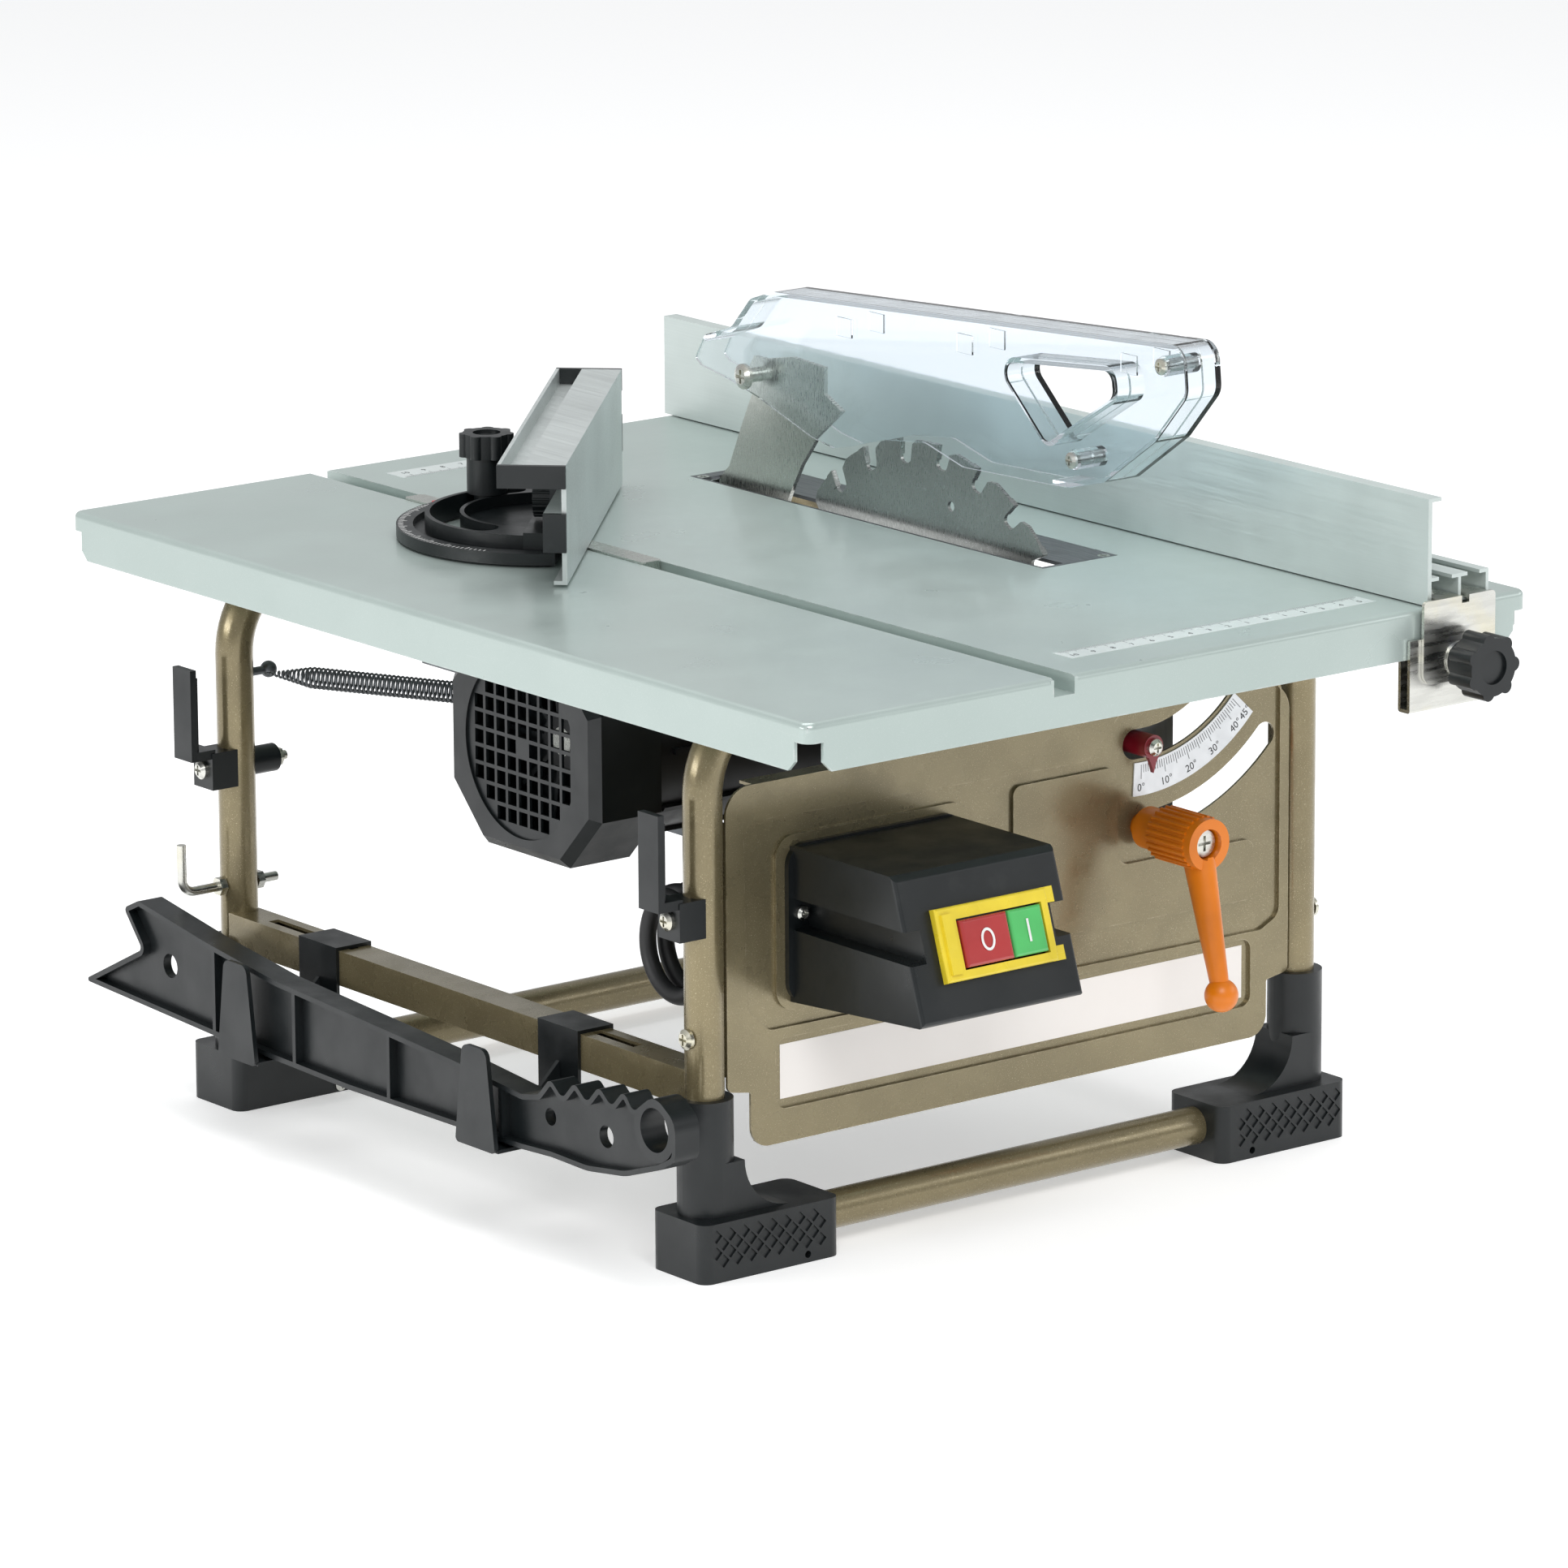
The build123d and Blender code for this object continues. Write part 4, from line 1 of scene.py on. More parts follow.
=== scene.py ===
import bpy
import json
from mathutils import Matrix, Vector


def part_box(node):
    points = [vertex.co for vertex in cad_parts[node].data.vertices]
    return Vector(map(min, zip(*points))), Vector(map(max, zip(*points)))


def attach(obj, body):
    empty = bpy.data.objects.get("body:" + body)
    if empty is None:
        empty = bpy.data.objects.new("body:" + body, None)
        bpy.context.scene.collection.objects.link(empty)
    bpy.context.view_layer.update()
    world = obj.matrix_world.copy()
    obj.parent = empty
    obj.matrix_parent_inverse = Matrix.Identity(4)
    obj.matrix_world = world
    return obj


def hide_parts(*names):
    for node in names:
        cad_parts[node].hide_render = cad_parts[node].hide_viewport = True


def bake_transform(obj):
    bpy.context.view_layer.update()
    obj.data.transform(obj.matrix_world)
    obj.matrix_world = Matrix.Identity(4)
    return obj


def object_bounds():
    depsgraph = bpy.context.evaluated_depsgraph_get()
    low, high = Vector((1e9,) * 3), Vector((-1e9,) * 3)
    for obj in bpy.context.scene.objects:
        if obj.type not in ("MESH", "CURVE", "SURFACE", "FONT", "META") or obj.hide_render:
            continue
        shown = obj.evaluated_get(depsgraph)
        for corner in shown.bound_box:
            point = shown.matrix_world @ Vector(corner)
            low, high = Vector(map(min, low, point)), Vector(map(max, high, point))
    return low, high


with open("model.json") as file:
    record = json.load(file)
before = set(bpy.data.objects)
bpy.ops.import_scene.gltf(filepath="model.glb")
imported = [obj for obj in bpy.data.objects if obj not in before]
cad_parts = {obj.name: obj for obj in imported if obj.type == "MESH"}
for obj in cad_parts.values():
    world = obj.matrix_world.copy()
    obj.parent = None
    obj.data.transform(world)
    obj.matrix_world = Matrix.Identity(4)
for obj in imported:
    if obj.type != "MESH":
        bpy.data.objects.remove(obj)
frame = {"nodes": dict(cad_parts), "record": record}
bounds_before = [list(corner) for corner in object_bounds()]

import json
import math

import bmesh
import bpy
from mathutils import Matrix, Vector

NODES = frame["nodes"]
MM = 0.001
X = Vector((1, 0, 0)) * MM
Y = Vector((0, 1, 0)) * MM
UP = Vector((0, 0, 1)) * MM
OUT = Vector((0, -1, 0)) * MM      # towards the front

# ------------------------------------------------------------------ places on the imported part
table_low, table_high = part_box("table_top")
DATUM = Vector((table_low.x, table_low.y, table_high.z))   # front left corner of the table surface
PIVOT = (254.5, -5.0)                                      # bevel axis, x and z from the datum
MAX_BEVEL = 45                                             # last degree on the bevel scale
MITRE = (127.6, 336.4)                                     # mitre pivot, x and y from the datum


def at(x, y, z):
    """Model position of a point given in millimetres from the table's front left corner."""
    return DATUM + Vector((x, y, z)) * MM


# ------------------------------------------------------------------ node materials
class Paint:
    """Builds one procedural material around a Principled shader."""

    def __init__(self, name, color, rough, metallic=0.0, coat=0.0):
        self.material = bpy.data.materials.new(name)
        self.material.use_nodes = True
        self.tree = self.material.node_tree
        self.shader = self.tree.nodes["Principled BSDF"]
        self.shader.inputs["Base Color"].default_value = (*color, 1)
        self.shader.inputs["Roughness"].default_value = rough
        self.shader.inputs["Metallic"].default_value = metallic
        self.shader.inputs["Coat Weight"].default_value = coat
        self.shader.inputs["Coat Roughness"].default_value = 0.15
        self.color = self.constant(color)
        self.rough = None
        self.normal = None
        self.coords = self.tree.nodes.new("ShaderNodeTexCoord").outputs["Object"]

    def node(self, kind, **inputs):
        made = self.tree.nodes.new(kind)
        for key, value in inputs.items():
            target = made.inputs[key.replace("_", " ")]
            if isinstance(value, bpy.types.NodeSocket):
                self.tree.links.new(value, target)
            else:
                target.default_value = value
        return made

    def constant(self, color):
        made = self.tree.nodes.new("ShaderNodeRGB")
        made.outputs[0].default_value = (*color, 1)
        return made.outputs[0]

    def stretched(self, scale):
        mapping = self.node("ShaderNodeMapping", Vector=self.coords)
        mapping.inputs["Scale"].default_value = scale
        return mapping.outputs["Vector"]

    def noise(self, scale, detail, stretch=None):
        vector = self.coords if stretch is None else self.stretched(stretch)
        made = self.node(
            "ShaderNodeTexNoise", Vector=vector, Scale=scale, Detail=detail, Roughness=0.55,
        )
        return made.outputs["Fac"]

    def ramp(self, value, low, high, out_low=0.0, out_high=1.0):
        made = self.node("ShaderNodeMapRange", Value=value)
        made.inputs["From Min"].default_value = low
        made.inputs["From Max"].default_value = high
        made.inputs["To Min"].default_value = out_low
        made.inputs["To Max"].default_value = out_high
        return made.outputs["Result"]

    def tint(self, factor, color):
        """Mixes another colour in where factor is 1."""
        mix = self.tree.nodes.new("ShaderNodeMix")
        mix.data_type = "RGBA"
        self.tree.links.new(factor, mix.inputs["Factor"])
        self.tree.links.new(self.color, mix.inputs["A"])
        mix.inputs["B"].default_value = (*color, 1)
        self.color = mix.outputs["Result"]
        return self

    def vary_rough(self, value, low, high):
        """Roughness from low to high as the value goes through its middle range."""
        self.rough = self.ramp(value, 0.3, 0.7, low, high)

    def bump(self, value, strength, distance):
        made = self.node("ShaderNodeBump", Height=value, Strength=strength, Distance=distance)
        if self.normal is not None:
            self.tree.links.new(self.normal, made.inputs["Normal"])
        self.normal = made.outputs["Normal"]

    def worn_edges(self, radius, color):
        """Rubbed colour along edges, where a rounded normal differs from the true one."""
        soft = self.tree.nodes.new("ShaderNodeBevel")
        soft.samples = 4
        soft.inputs["Radius"].default_value = radius
        hard = self.tree.nodes.new("ShaderNodeNewGeometry")
        dot = self.tree.nodes.new("ShaderNodeVectorMath")
        dot.operation = "DOT_PRODUCT"
        self.tree.links.new(soft.outputs["Normal"], dot.inputs[0])
        self.tree.links.new(hard.outputs["Normal"], dot.inputs[1])
        edge = self.ramp(dot.outputs["Value"], 0.985, 0.85)
        broken = self.ramp(self.noise(220.0, 4.0), 0.45, 0.65)
        both = self.tree.nodes.new("ShaderNodeMath")
        both.operation = "MULTIPLY"
        self.tree.links.new(edge, both.inputs[0])
        self.tree.links.new(broken, both.inputs[1])
        return self.tint(both.outputs[0], color)

    def done(self):
        self.tree.links.new(self.color, self.shader.inputs["Base Color"])
        if self.rough is not None:
            self.tree.links.new(self.rough, self.shader.inputs["Roughness"])
        if self.normal is not None:
            self.tree.links.new(self.normal, self.shader.inputs["Normal"])
        return self.material


def plastic(name, color, rough, grain, dust, gloss):
    paint = Paint(name, color, rough, coat=gloss)
    dark = tuple(c * 0.72 for c in color)
    paint.tint(paint.ramp(paint.noise(28.0, 4.0), 0.4, 0.75), dark)               # broad patches
    paint.tint(paint.ramp(paint.noise(60.0, 6.0), 0.62, 0.9, 0.0, 0.16), dust)
    paint.vary_rough(paint.noise(45.0, 5.0), rough - 0.09, rough + 0.12)
    paint.bump(paint.noise(3200.0, 2.0), grain, 0.00004)                          # moulded grain
    paint.bump(paint.noise(90.0, 2.0), 0.12, 0.0002)                              # slow waves
    return paint


def metal(name, color, rough, brush, grain, metallic):
    """Worked metal; brush is the stretch of the fine lines along x, y and z."""
    paint = Paint(name, color, rough, metallic=metallic)
    paint.tint(paint.ramp(paint.noise(24.0, 2.0), 0.35, 0.8), tuple(c * 0.86 for c in color))
    lines = paint.noise(1.0, 3.0, stretch=brush)
    paint.vary_rough(lines, rough - 0.08, rough + 0.14)
    paint.bump(lines, grain, 0.00003)
    return paint


def metallic_paint(name, color, fleck, fleck_amount, worn):
    """Flecked paint, rubbed along the edges to the colour worn."""
    rough = 0.28
    paint = Paint(name, color, rough, metallic=0.55, coat=0.35)
    paint.tint(paint.ramp(paint.noise(18.0, 4.0), 0.35, 0.75), tuple(c * 0.8 for c in color))
    paint.tint(paint.ramp(paint.noise(2600.0, 2.0), 0.62, 0.72, 0.0, fleck_amount), fleck)
    paint.vary_rough(paint.noise(70.0, 4.0), rough - 0.08, rough + 0.08)
    paint.bump(paint.noise(520.0, 3.0), 0.18, 0.00012)                            # orange peel
    paint.bump(paint.noise(2600.0, 2.0), 0.12, 0.00003)                           # flecks
    return paint.worn_edges(0.0008, worn)


def table_paint():
    table = Paint("table_paint", (0.43, 0.505, 0.48), 0.30, metallic=0.35, coat=0.3)
    table.tint(table.ramp(table.noise(7.0, 4.0), 0.35, 0.8, 0.0, 0.5), (0.34, 0.415, 0.39))
    table.tint(table.ramp(table.noise(3000.0, 2.0), 0.6, 0.75, 0.0, 0.35), (0.66, 0.70, 0.68))
    scratches = table.noise(1.0, 4.0, stretch=(900.0, 14.0, 900.0))
    table.tint(table.ramp(scratches, 0.68, 0.78, 0.0, 0.3), (0.62, 0.66, 0.65))
    table.vary_rough(table.noise(24.0, 5.0), 0.26, 0.42)
    table.bump(table.noise(700.0, 3.0), 0.10, 0.00008)
    table.bump(scratches, 0.05, 0.00003)
    return table.worn_edges(0.0012, (0.60, 0.63, 0.62))


def zinc_plate():
    """Zinc with patches of yellow and blue passivation."""
    zinc = metal("zinc_plate", (0.66, 0.66, 0.62), 0.24, (60.0, 60.0, 500.0), 0.3, 1.0)
    zinc.tint(zinc.ramp(zinc.noise(40.0, 3.0), 0.5, 0.7, 0.0, 0.5), (0.70, 0.64, 0.42))
    zinc.tint(zinc.ramp(zinc.noise(55.0, 3.0), 0.62, 0.8, 0.0, 0.5), (0.42, 0.48, 0.66))
    return zinc


def clear_guard():
    """Clear plastic that lets light through to what is behind it instead of shading it."""
    clear = Paint("clear_guard", (0.93, 0.97, 1.0), 0.04)
    clear.shader.inputs["Transmission Weight"].default_value = 1.0
    clear.shader.inputs["IOR"].default_value = 1.45
    clear.vary_rough(clear.noise(60.0, 4.0), 0.02, 0.07)
    clear.bump(clear.noise(55.0, 2.0), 0.10, 0.0004)
    path = clear.tree.nodes.new("ShaderNodeLightPath")
    see = clear.tree.nodes.new("ShaderNodeBsdfTransparent")
    see.inputs["Color"].default_value = (0.90, 0.94, 0.96, 1)
    mix = clear.tree.nodes.new("ShaderNodeMixShader")
    surface = clear.tree.nodes["Material Output"].inputs["Surface"]
    for source, target in (
        (path.outputs["Is Shadow Ray"], mix.inputs[0]),
        (clear.shader.outputs[0], mix.inputs[1]),
        (see.outputs[0], mix.inputs[2]),
        (mix.outputs[0], surface),
    ):
        clear.tree.links.new(source, target)
    return clear


def label_white():
    label = Paint("label_white", (0.88, 0.84, 0.805), 0.38, coat=0.1)
    label.tint(label.ramp(label.noise(40.0, 3.0), 0.4, 0.8, 0.0, 0.5), (0.84, 0.80, 0.76))
    label.vary_rough(label.noise(60.0, 3.0), 0.32, 0.46)
    label.bump(label.noise(600.0, 2.0), 0.05, 0.00005)
    return label


def rule_strip():
    strip = Paint("rule_strip", (0.60, 0.66, 0.645), 0.18, coat=0.4)
    strip.tint(strip.ramp(strip.noise(30.0, 3.0), 0.4, 0.8), (0.55, 0.61, 0.60))
    strip.vary_rough(strip.noise(80.0, 3.0), 0.14, 0.3)
    strip.bump(strip.noise(400.0, 2.0), 0.08, 0.0001)
    return strip


GREY_DUST = (0.35, 0.35, 0.34)
# colour, roughness, strength of the grain, colour of the dust, coat
PLASTICS = {
    "black_plastic": ((0.006, 0.0085, 0.0095), 0.36, 0.4, (0.10, 0.10, 0.10), 0.0),
    "orange_plastic": ((0.76, 0.195, 0.002), 0.36, 0.2, (0.85, 0.35, 0.08), 0.0),
    "yellow_plastic": ((0.80, 0.62, 0.03), 0.28, 0.12, (0.9, 0.8, 0.3), 0.3),
    "red_plastic": ((0.42, 0.03, 0.03), 0.2, 0.08, (0.6, 0.2, 0.1), 0.6),
    "green_plastic": ((0.08, 0.50, 0.13), 0.2, 0.08, (0.3, 0.7, 0.3), 0.6),
    "crimson_plastic": ((0.28, 0.008, 0.02), 0.3, 0.15, (0.4, 0.1, 0.1), 0.3),
    "bright_red_plastic": ((0.66, 0.012, 0.03), 0.3, 0.15, (0.7, 0.2, 0.2), 0.3),
    "cable_rubber": ((0.012, 0.012, 0.013), 0.5, 0.5, GREY_DUST, 0.0),
    "ink": ((0.02, 0.02, 0.022), 0.5, 0.1, GREY_DUST, 0.0),
    "white_print": ((0.80, 0.80, 0.79), 0.45, 0.1, (0.7, 0.7, 0.68), 0.0),
}
# colour, roughness, stretch of the fine lines, strength of the lines, metallic
METALS = {
    "bright_steel": ((0.60, 0.62, 0.58), 0.26, (260.0, 1900.0, 260.0), 0.05, 1.0),
    "dark_steel": ((0.16, 0.17, 0.18), 0.42, (700.0, 60.0, 60.0), 0.3, 1.0),
    "motor_black": ((0.012, 0.012, 0.014), 0.36, (90.0, 90.0, 90.0), 0.3, 0.2),
    "copper_core": ((0.42, 0.21, 0.10), 0.38, (1500.0, 80.0, 80.0), 0.3, 1.0),
    "aluminium_extrusion": ((0.62, 0.66, 0.65), 0.38, (1400.0, 12.0, 1400.0), 0.08, 0.75),
    "fence_aluminium": ((0.60, 0.665, 0.645), 0.42, (1400.0, 12.0, 1400.0), 0.08, 0.55),
    "scale_plate": ((0.80, 0.82, 0.84), 0.38, (300.0, 300.0, 300.0), 0.1, 0.6),
    "blade_steel": ((0.36, 0.375, 0.365), 0.27, (300.0, 2600.0, 340.0), 0.05, 1.0),
}
# colour, colour and amount of the flecks, colour of the rubbed edges
METALLIC_PAINTS = {
    "frame_bronze": ((0.25, 0.205, 0.11), (0.70, 0.62, 0.42), 0.75, (0.42, 0.36, 0.24)),
    "panel_bronze": ((0.245, 0.205, 0.115), (0.70, 0.62, 0.44), 0.8, (0.44, 0.38, 0.26)),
}
MATERIALS = {}
for maker, table in ((plastic, PLASTICS), (metal, METALS), (metallic_paint, METALLIC_PAINTS)):
    for name, values in table.items():
        MATERIALS[name] = maker(name, *values).done()
for name, maker in (
    ("table_paint", table_paint),
    ("zinc_plate", zinc_plate),
    ("clear_guard", clear_guard),
    ("label_white", label_white),
    ("rule_strip", rule_strip),
):
    MATERIALS[name] = maker().done()

SPECIAL = {
    "saw_blade": "blade_steel",
    "fence_rail": "fence_aluminium",
    "mitre_pointer": "bright_red_plastic",
}
BEVELS = {                 # edge softening of each piece, mm
    "table_top": 0.4, "front_panel": 0.5, "feet_outer_halves": 0.9, "feet_inner_halves": 0.9,
    "push_stick": 0.6, "stick_hooks": 0.4, "switch_box": 1.4, "mitre_head": 0.6, "fence_rail": 0.2,
    "mitre_fence": 0.2, "cable_hooks": 0.6, "fan_cover": 0.5, "saw_blade": 0.12,
    "guard_left": 0.35, "guard_right": 0.35,
}
DEFAULT_BEVEL = 0.25       # mm
SMOOTH_LIMIT = 32.0        # degrees between faces that still shade as one surface
BEVEL_LIMIT = 40           # degrees between faces above which an edge is softened


def smooth(obj):
    """Smooth shading that keeps the sharp edges sharp."""
    for polygon in obj.data.polygons:
        polygon.use_smooth = True
    mesh = bmesh.new()
    mesh.from_mesh(obj.data)
    limit = math.radians(SMOOTH_LIMIT)
    for edge in mesh.edges:
        if len(edge.link_faces) == 2:
            edge.smooth = edge.calc_face_angle(0.0) < limit
    mesh.to_mesh(obj.data)
    mesh.free()


def soften(obj, width):
    bevel = obj.modifiers.new("soft_edges", "BEVEL")
    bevel.width = width * MM
    bevel.segments = 2
    bevel.limit_method = "ANGLE"
    bevel.angle_limit = math.radians(BEVEL_LIMIT)
    bevel.harden_normals = True
    bevel.use_clamp_overlap = True


slots = {entry["node"]: entry["material_slot"] for entry in frame["record"]["subparts"]}
for name, obj in NODES.items():
    obj.data.materials.clear()
    obj.data.materials.append(MATERIALS[SPECIAL.get(name, slots[name])])
    smooth(obj)
    soften(obj, BEVELS.get(name, DEFAULT_BEVEL))


# ------------------------------------------------------------------ added pieces, lengths in mm
# rules: name, y from and to, x from and to, side the ticks start from (1 = rear, -1 = front)
RULES = (
    ("front", 22.0, 34.0, 150.0, 310.0, 1),
    ("rear", 469.0, 482.0, 148.0, 240.0, -1),
)
RULE_SPAN = range(-105, 56)    # whole millimetres from the blade line
RULE_TICKS = (4.6, 3.4, 2.2)   # tick lengths for tens, fives and the rest
RULE_DIGIT = (4.2, 8.0)        # height of a number, its middle from the edge of the strip
RULE_TICK_HALF = 0.09          # half the width of a tick
SCALE_TICKS = (6.0, 4.8, 3.4)
SCALE_DIGIT = (4.6, 79.2)      # height of a number, its radius from the bevel axis
SCALE_TICK_HALF = 0.12
MITRE_TICKS = (3.6, 2.2)       # tens and the rest
MITRE_TICK_HALF = 0.2
STRIP_THICK = 0.12             # strips and the panel band stand this far off their surface
RULE_TICK_THICK = 0.04         # rule ticks, O and I
SCALE_TICK_THICK = 0.05        # bevel and mitre ticks
PRINT_THICK = 0.02             # numbers, each way from their middle


def linked(name, data):
    """Object in the scene that holds the data."""
    obj = bpy.data.objects.new(name, data)
    bpy.context.scene.collection.objects.link(obj)
    return obj


def mesh_object(name, material, vertices, faces):
    data = bpy.data.meshes.new(name)
    data.from_pydata([tuple(v) for v in vertices], [], faces)
    data.update()
    data.materials.append(material)
    return linked(name, data)


class Slabs:
    """Collects thin raised marks into one mesh."""

    def __init__(self):
        self.vertices = []
        self.faces = []

    def prism(self, outline, up):
        """Closed prism from a planar outline of points, raised by the vector up."""
        start = len(self.vertices)
        count = len(outline)
        self.vertices += [Vector(p) for p in outline] + [Vector(p) + up for p in outline]
        self.faces.append([start + i for i in reversed(range(count))])
        self.faces.append([start + count + i for i in range(count)])
        for i in range(count):
            j = (i + 1) % count
            self.faces.append([start + i, start + j, start + count + j, start + count + i])

    def quad(self, centre, along, across, up):
        """Box on its middle, by half length and half width vectors, raised by the vector up."""
        outline = [
            centre - along - across,
            centre + along - across,
            centre + along + across,
            centre - along + across,
        ]
        self.prism(outline, up)

    def piece(self, name, material, body):
        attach(mesh_object(name, MATERIALS[material], self.vertices, self.faces), body)


def digit_mesh(words, size, place):
    """Mesh of a number; place has the reading direction on x and the outside on z."""
    curve = bpy.data.curves.new("digit", "FONT")
    curve.body = words
    curve.size = size * MM
    curve.align_x = "CENTER"
    curve.align_y = "CENTER"
    curve.extrude = PRINT_THICK * MM
    curve.resolution_u = 3
    holder = linked("digit_curve", curve)
    bpy.context.view_layer.update()
    data = bpy.data.meshes.new_from_object(holder)
    bpy.data.objects.remove(holder)
    data.transform(place)
    return data


def printed(name, digits, body):
    """One ink piece out of the meshes of several numbers."""
    mesh = bmesh.new()
    for digit in digits:
        mesh.from_mesh(digit)
        bpy.data.meshes.remove(digit)
    data = bpy.data.meshes.new(name)
    mesh.to_mesh(data)
    mesh.free()
    data.materials.append(MATERIALS["ink"])
    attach(linked(name, data), body)


def facing(origin, x_axis, z_axis):
    """Matrix at the origin with its x and z along the two axes, which are square to each other."""
    x = Vector(x_axis).normalized()
    z = Vector(z_axis).normalized()
    y = z.cross(x)
    made = Matrix((x, y, z)).transposed().to_4x4()
    made.translation = origin
    return made


def tick_length(value, lengths):
    """Tick at a whole value; the lengths are for tens, fives and the rest."""
    if value % 10 == 0:
        return lengths[0]
    if value % 5 == 0:
        return lengths[1]
    return lengths[2]


def table_rules():
    """Centimetre rules stuck on the table, front and rear."""
    for label, y_low, y_high, x_low, x_high, tick_side in RULES:
        strip = Slabs()
        middle = at((x_low + x_high) / 2, (y_low + y_high) / 2, 0)
        strip.quad(middle, X * (x_high - x_low) / 2, Y * (y_high - y_low) / 2, UP * STRIP_THICK)
        strip.piece("rule_strip_" + label, "rule_strip", "stand")
        marks = Slabs()
        base = y_high if tick_side > 0 else y_low
        size, inset = RULE_DIGIT
        digits = []
        for millimetre in RULE_SPAN:
            x = PIVOT[0] + millimetre
            if not x_low + 2 < x < x_high - 2:
                continue
            length = tick_length(millimetre, RULE_TICKS)
            centre = at(x, base - tick_side * length / 2, STRIP_THICK)
            marks.quad(centre, X * RULE_TICK_HALF, Y * length / 2, UP * RULE_TICK_THICK)
            if millimetre % 10 == 0:
                spot = at(x, base - tick_side * inset, STRIP_THICK + PRINT_THICK)
                place = facing(spot, (1, 0, 0), (0, 0, 1))
                number = str(abs(millimetre) // 10)
                digits.append(digit_mesh(number, size, place))
        marks.piece("rule_marks_" + label, "ink", "stand")
        printed("rule_numbers_" + label, digits, "stand")


def polar(radius, degrees):
    """Point round the bevel axis, angle from straight down, positive to the right."""
    turn = math.radians(degrees)
    return PIVOT[0] + radius * math.sin(turn), PIVOT[1] - radius * math.cos(turn)


def bevel_scale():
    """Degree marks and numbers on the bevel scale."""
    surface = 102.9            # face of the scale plate
    inner = 69.5               # radius the ticks start from
    lift = 0.03                # middle of the numbers in front of the plate
    size, digit_radius = SCALE_DIGIT
    marks = Slabs()
    digits = []
    for degree in range(0, MAX_BEVEL + 1):
        numbered = degree % 10 == 0 or degree == MAX_BEVEL
        length = SCALE_TICKS[0] if numbered else tick_length(degree, SCALE_TICKS)
        x, z = polar(inner + length / 2, degree)
        turn = math.radians(degree)
        radial = (X * math.sin(turn) - UP * math.cos(turn)) * length / 2
        tangent = (X * math.cos(turn) + UP * math.sin(turn)) * SCALE_TICK_HALF
        marks.quad(at(x, surface, z), radial, tangent, OUT * SCALE_TICK_THICK)
        if numbered:
            x, z = polar(digit_radius, degree)
            direction = (math.cos(turn), 0, math.sin(turn))
            place = facing(at(x, surface - lift, z), direction, (0, -1, 0))
            digits.append(digit_mesh(str(degree) + "°", size, place))
    marks.piece("bevel_marks", "ink", "stand")
    printed("bevel_numbers", digits, "stand")


def mitre_scale():
    """White degree marks round the rim of the mitre head."""
    surface = 6.0              # top of the rim above the table
    outer = 63.2               # radius the ticks end at
    marks = Slabs()
    centre = at(MITRE[0], MITRE[1], surface)
    for degree in range(62, 209, 2):
        turn = math.radians(degree)
        length = MITRE_TICKS[0] if degree % 10 == 0 else MITRE_TICKS[1]
        radial = Vector((math.cos(turn), math.sin(turn), 0)) * MM
        tangent = Vector((-math.sin(turn), math.cos(turn), 0)) * MM
        middle = centre + radial * (outer - length / 2)
        marks.quad(middle, radial * length / 2, tangent * MITRE_TICK_HALF, UP * SCALE_TICK_THICK)
    marks.piece("mitre_marks", "white_print", "mitre_gauge")


def switch_marks():
    """White O and I on the stop and start buttons."""
    up = Vector((0, 18.0, 54.5)).normalized()      # slope of the sloping face of the box
    out = Vector((0, -up.z, up.y))
    centre = at(111.8, 27.0, -108.25)              # middle of that face
    stop_top = 5.35                                # faces of the buttons above it
    start_top = 4.55
    stop_middle = (-4.55, -0.2)
    inner = (2.3, 3.5)                             # half width and half height of the O, inside
    outer = (3.4, 4.6)                             # and outside
    steps = 28                                     # pieces round the O

    def on_face(x, y, z):
        return centre + (Vector((x, 0, 0)) + up * y + out * z) * MM

    ring = Slabs()
    for i in range(steps):
        corners = []
        for turn, (half_x, half_y) in ((i, inner), (i, outer), (i + 1, outer), (i + 1, inner)):
            angle = 2 * math.pi * turn / steps
            x = stop_middle[0] + half_x * math.cos(angle)
            y = stop_middle[1] + half_y * math.sin(angle)
            corners.append(on_face(x, y, stop_top))
        ring.prism(corners, out * RULE_TICK_THICK * MM)
    ring.piece("stop_mark", "white_print", "stop_switch")
    bar = Slabs()
    corners = ((16.4, -4.6), (17.5, -4.6), (17.5, 4.6), (16.4, 4.6))
    bar.prism([on_face(x, y, start_top) for x, y in corners], out * RULE_TICK_THICK * MM)
    bar.piece("start_mark", "white_print", "start_switch")


def panel_band():
    """Plain pale band along the foot of the front panel."""
    surface = 103.5            # face of the panel under the band
    corners = ((66.5, -160.3), (309.8, -160.3), (309.8, -182.8), (66.5, -182.8))
    slab = Slabs()
    slab.prism([at(x, surface, z) for x, z in corners], OUT * STRIP_THICK)
    slab.piece("panel_band", "label_white", "stand")


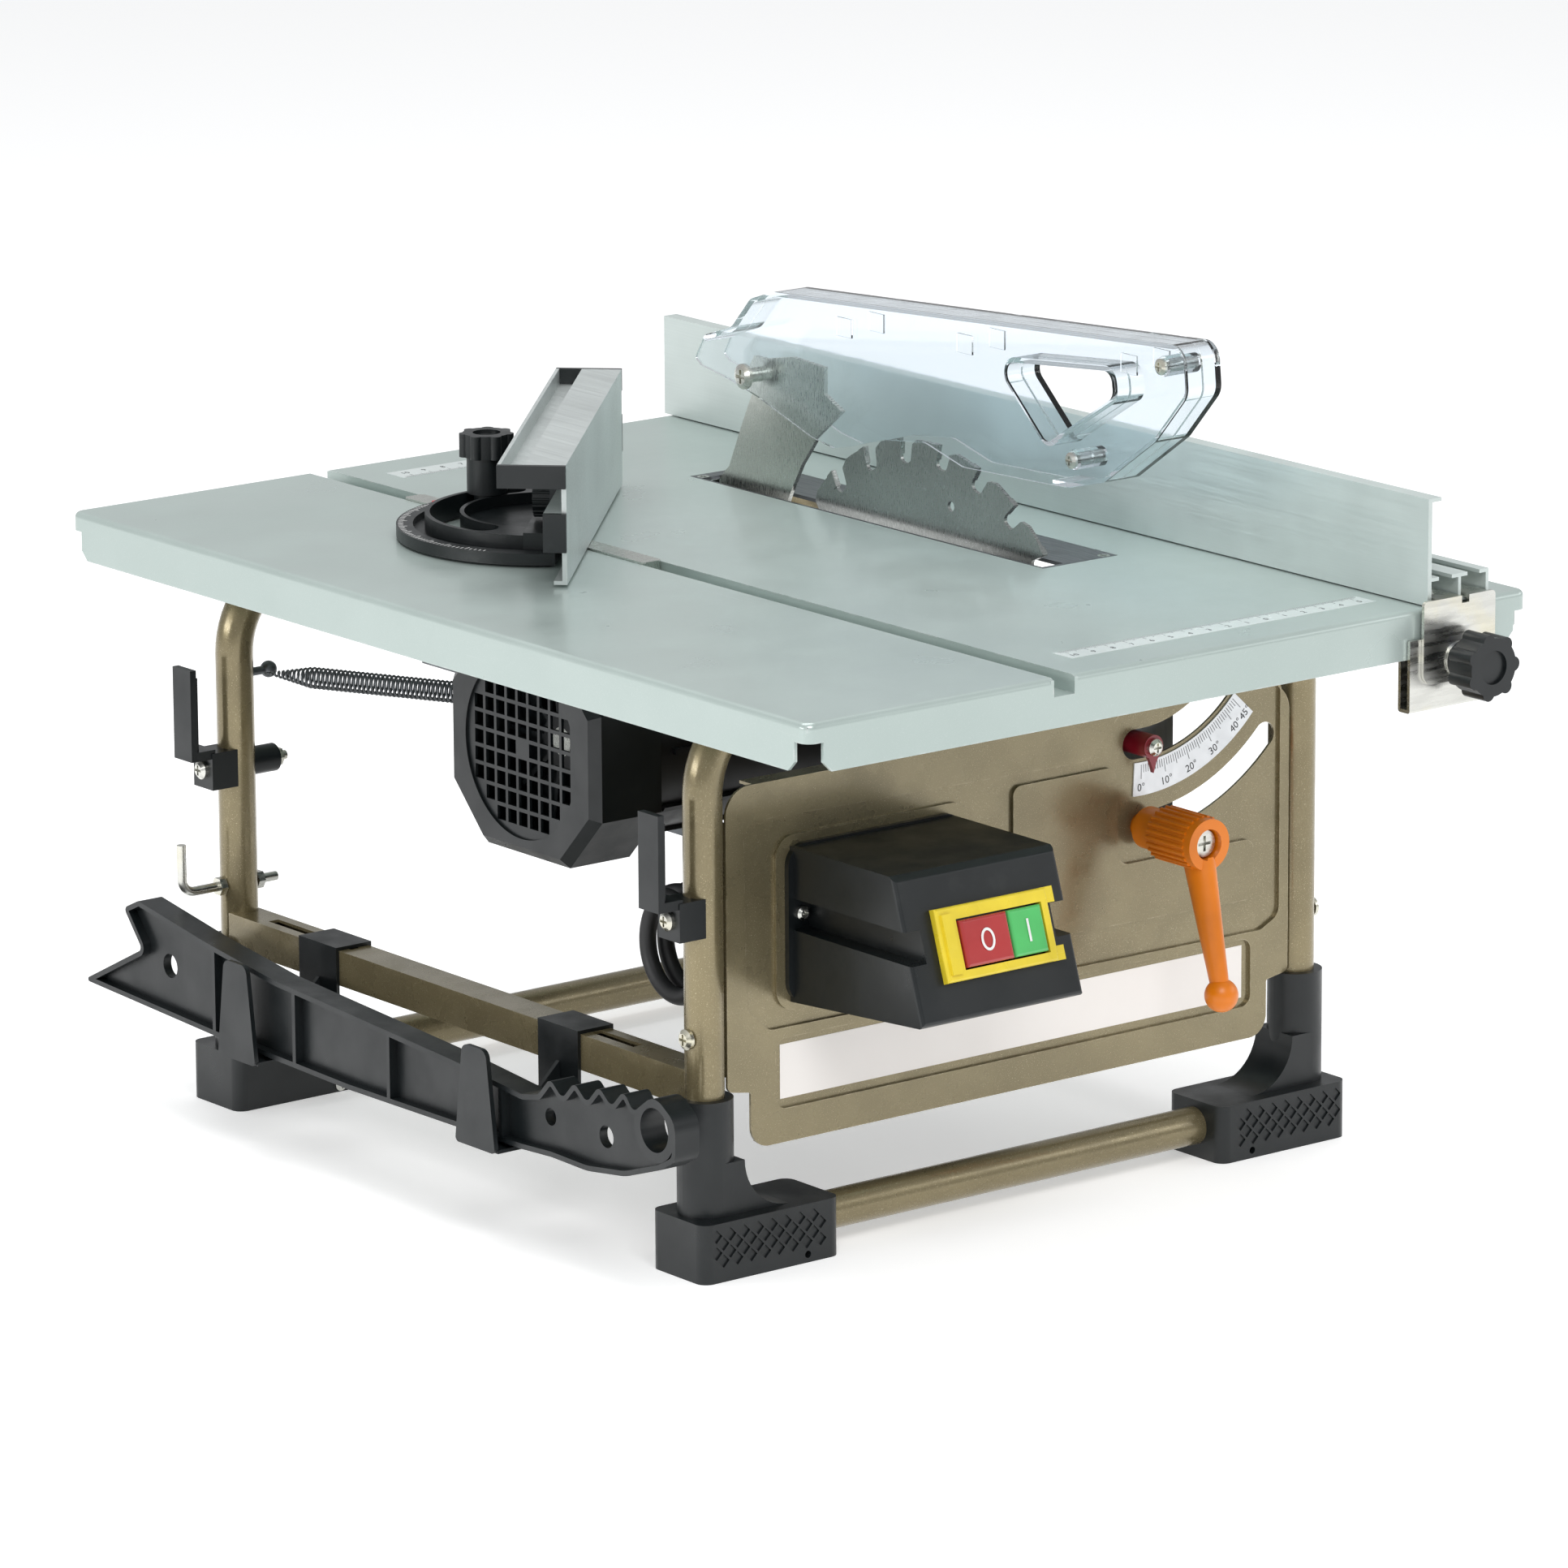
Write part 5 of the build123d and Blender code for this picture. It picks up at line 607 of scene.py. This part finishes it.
def coil(name, start, end, radius, wire, turns):
    """Extension spring between two points, built as one fixed mesh."""
    axis = (end - start).normalized()
    side = axis.cross(Vector((0, 0, 1))).normalized()
    other = axis.cross(side)
    steps = 14                 # points per turn
    ring = 6                   # points round the wire
    taper = 6                  # the coil narrows to a point over a sixth of its length at each end
    path = []
    total = turns * steps
    for i in range(total + 1):
        share = i / total
        turn = 2 * math.pi * i / steps
        reach = radius * min(1.0, taper * share, taper * (1 - share))
        outward = side * math.cos(turn) + other * math.sin(turn)
        path.append(start.lerp(end, share) + outward * reach)
    vertices = []
    faces = []
    for i, centre in enumerate(path):
        before = path[max(i - 1, 0)]
        after = path[min(i + 1, total)]
        direction = (after - before).normalized()
        u = direction.cross(axis).normalized()
        v = direction.cross(u)
        for k in range(ring):
            turn = 2 * math.pi * k / ring
            vertices.append(centre + (u * math.cos(turn) + v * math.sin(turn)) * wire)
    for i in range(total):
        for k in range(ring):
            a = i * ring + k
            b = i * ring + (k + 1) % ring
            faces.append([a, b, b + ring, a + ring])
    faces.append(list(reversed(range(ring))))
    faces.append([total * ring + k for k in range(ring)])
    obj = mesh_object(name, MATERIALS["dark_steel"], vertices, faces)
    for polygon in obj.data.polygons:
        polygon.use_smooth = True
    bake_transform(obj)
    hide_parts("counter_spring")


table_rules()
bevel_scale()
mitre_scale()
switch_marks()
panel_band()
SPRING_HOOK = at(43.5, 424.0, -62.6)       # end on the stand
SPRING_EYE = at(97.0, 302.0, -60.5)        # end on the arm of the cradle
SPRING_RADIUS = 4.2 * MM
SPRING_WIRE = 0.55 * MM
SPRING_TURNS = 62
coil(
    "counter_spring_coil", SPRING_HOOK, SPRING_EYE, SPRING_RADIUS, SPRING_WIRE, SPRING_TURNS,
)


# ------------------------------------------------------------------ floor, light and camera
FLOOR_HALF = 15.0              # metres
FLOOR_GLOW = 0.40              # keeps the floor pale under the soft light

floor_paint = Paint("floor", (0.86, 0.86, 0.86), 0.7)
floor_paint.bump(floor_paint.noise(12.0, 2.0), 0.02, 0.001)
floor_paint.shader.inputs["Emission Color"].default_value = (1, 1, 1, 1)
floor_paint.shader.inputs["Emission Strength"].default_value = FLOOR_GLOW
floor_corners = (
    (-FLOOR_HALF, -FLOOR_HALF, 0),
    (FLOOR_HALF, -FLOOR_HALF, 0),
    (FLOOR_HALF, FLOOR_HALF, 0),
    (-FLOOR_HALF, FLOOR_HALF, 0),
)
floor = mesh_object("floor", floor_paint.done(), floor_corners, [[0, 1, 2, 3]])
floor.matrix_world = Matrix.Translation((0, 0, bounds_before[0][2]))


def area_light(name, where, target, size, power):
    """Rectangular light at where, turned to the target; lengths in metres, power in watts."""
    data = bpy.data.lights.new(name, "AREA")
    data.shape = "RECTANGLE"
    data.size, data.size_y = size
    data.energy = power
    obj = linked(name, data)
    obj.rotation_mode = "QUATERNION"
    obj.rotation_quaternion = (Vector(target) - Vector(where)).to_track_quat("-Z", "Y")
    obj.location = where


area_light("key", (-0.9, -1.6, 1.9), (0, 0, 0.15), (1.2, 1.1219), 26)
area_light("fill", (1.9, -1.1, 1.0), (0, 0, 0.15), (1.6, 0.7086), 8)
area_light("left", (-2.0, 0.4, 0.7), (0, 0, 0.15), (1.4, 0.3219), 11)
area_light("top", (0.1, 0.6, 2.2), (0, 0, 0.2), (1.8, 1.3984), 24)

SKY_LIGHT = 0.52               # light the sky gives the object
SKY_SEEN = 1.1                 # brightness the camera sees behind it
world = bpy.data.worlds.new("studio")
bpy.context.scene.world = world
world.use_nodes = True
sky = world.node_tree.nodes["Background"]
sky.inputs["Color"].default_value = (0.97, 0.985, 1.0, 1)
seen = world.node_tree.nodes.new("ShaderNodeLightPath")
level = world.node_tree.nodes.new("ShaderNodeMapRange")
level.inputs["To Min"].default_value = SKY_LIGHT
level.inputs["To Max"].default_value = SKY_SEEN
world.node_tree.links.new(seen.outputs["Is Camera Ray"], level.inputs["Value"])
world.node_tree.links.new(level.outputs["Result"], sky.inputs["Strength"])

# camera at the photo's angle
AZIMUTH, ELEVATION, ROLL = (math.radians(a) for a in (38.493, 13.817, -0.228))
EYE = at(-2048.4, -2610.4, 797.2)
SENSOR = 36.0                  # mm
LENS = 205.54                  # mm
SHIFT = (-0.0507, -0.0069)     # part of the sensor's width
FAR_CLIP = 60.0                # metres
level_reach = math.cos(ELEVATION)
forward = Vector((
    math.sin(AZIMUTH) * level_reach, math.cos(AZIMUTH) * level_reach, -math.sin(ELEVATION),
))
right = forward.cross(Vector((0, 0, 1))).normalized()
up = right.cross(forward)
right, up = (
    right * math.cos(ROLL) + up * math.sin(ROLL),
    up * math.cos(ROLL) - right * math.sin(ROLL),
)
camera_data = bpy.data.cameras.new("camera")
camera_data.sensor_width = SENSOR
camera_data.lens = LENS
camera_data.shift_x, camera_data.shift_y = SHIFT
camera_data.clip_end = FAR_CLIP
camera = linked("camera", camera_data)
placed = Matrix((right, up, -forward)).transposed().to_4x4()
placed.translation = EYE
camera.matrix_world = placed
bpy.context.scene.camera = camera

bpy.context.scene.view_settings.view_transform = "Standard"
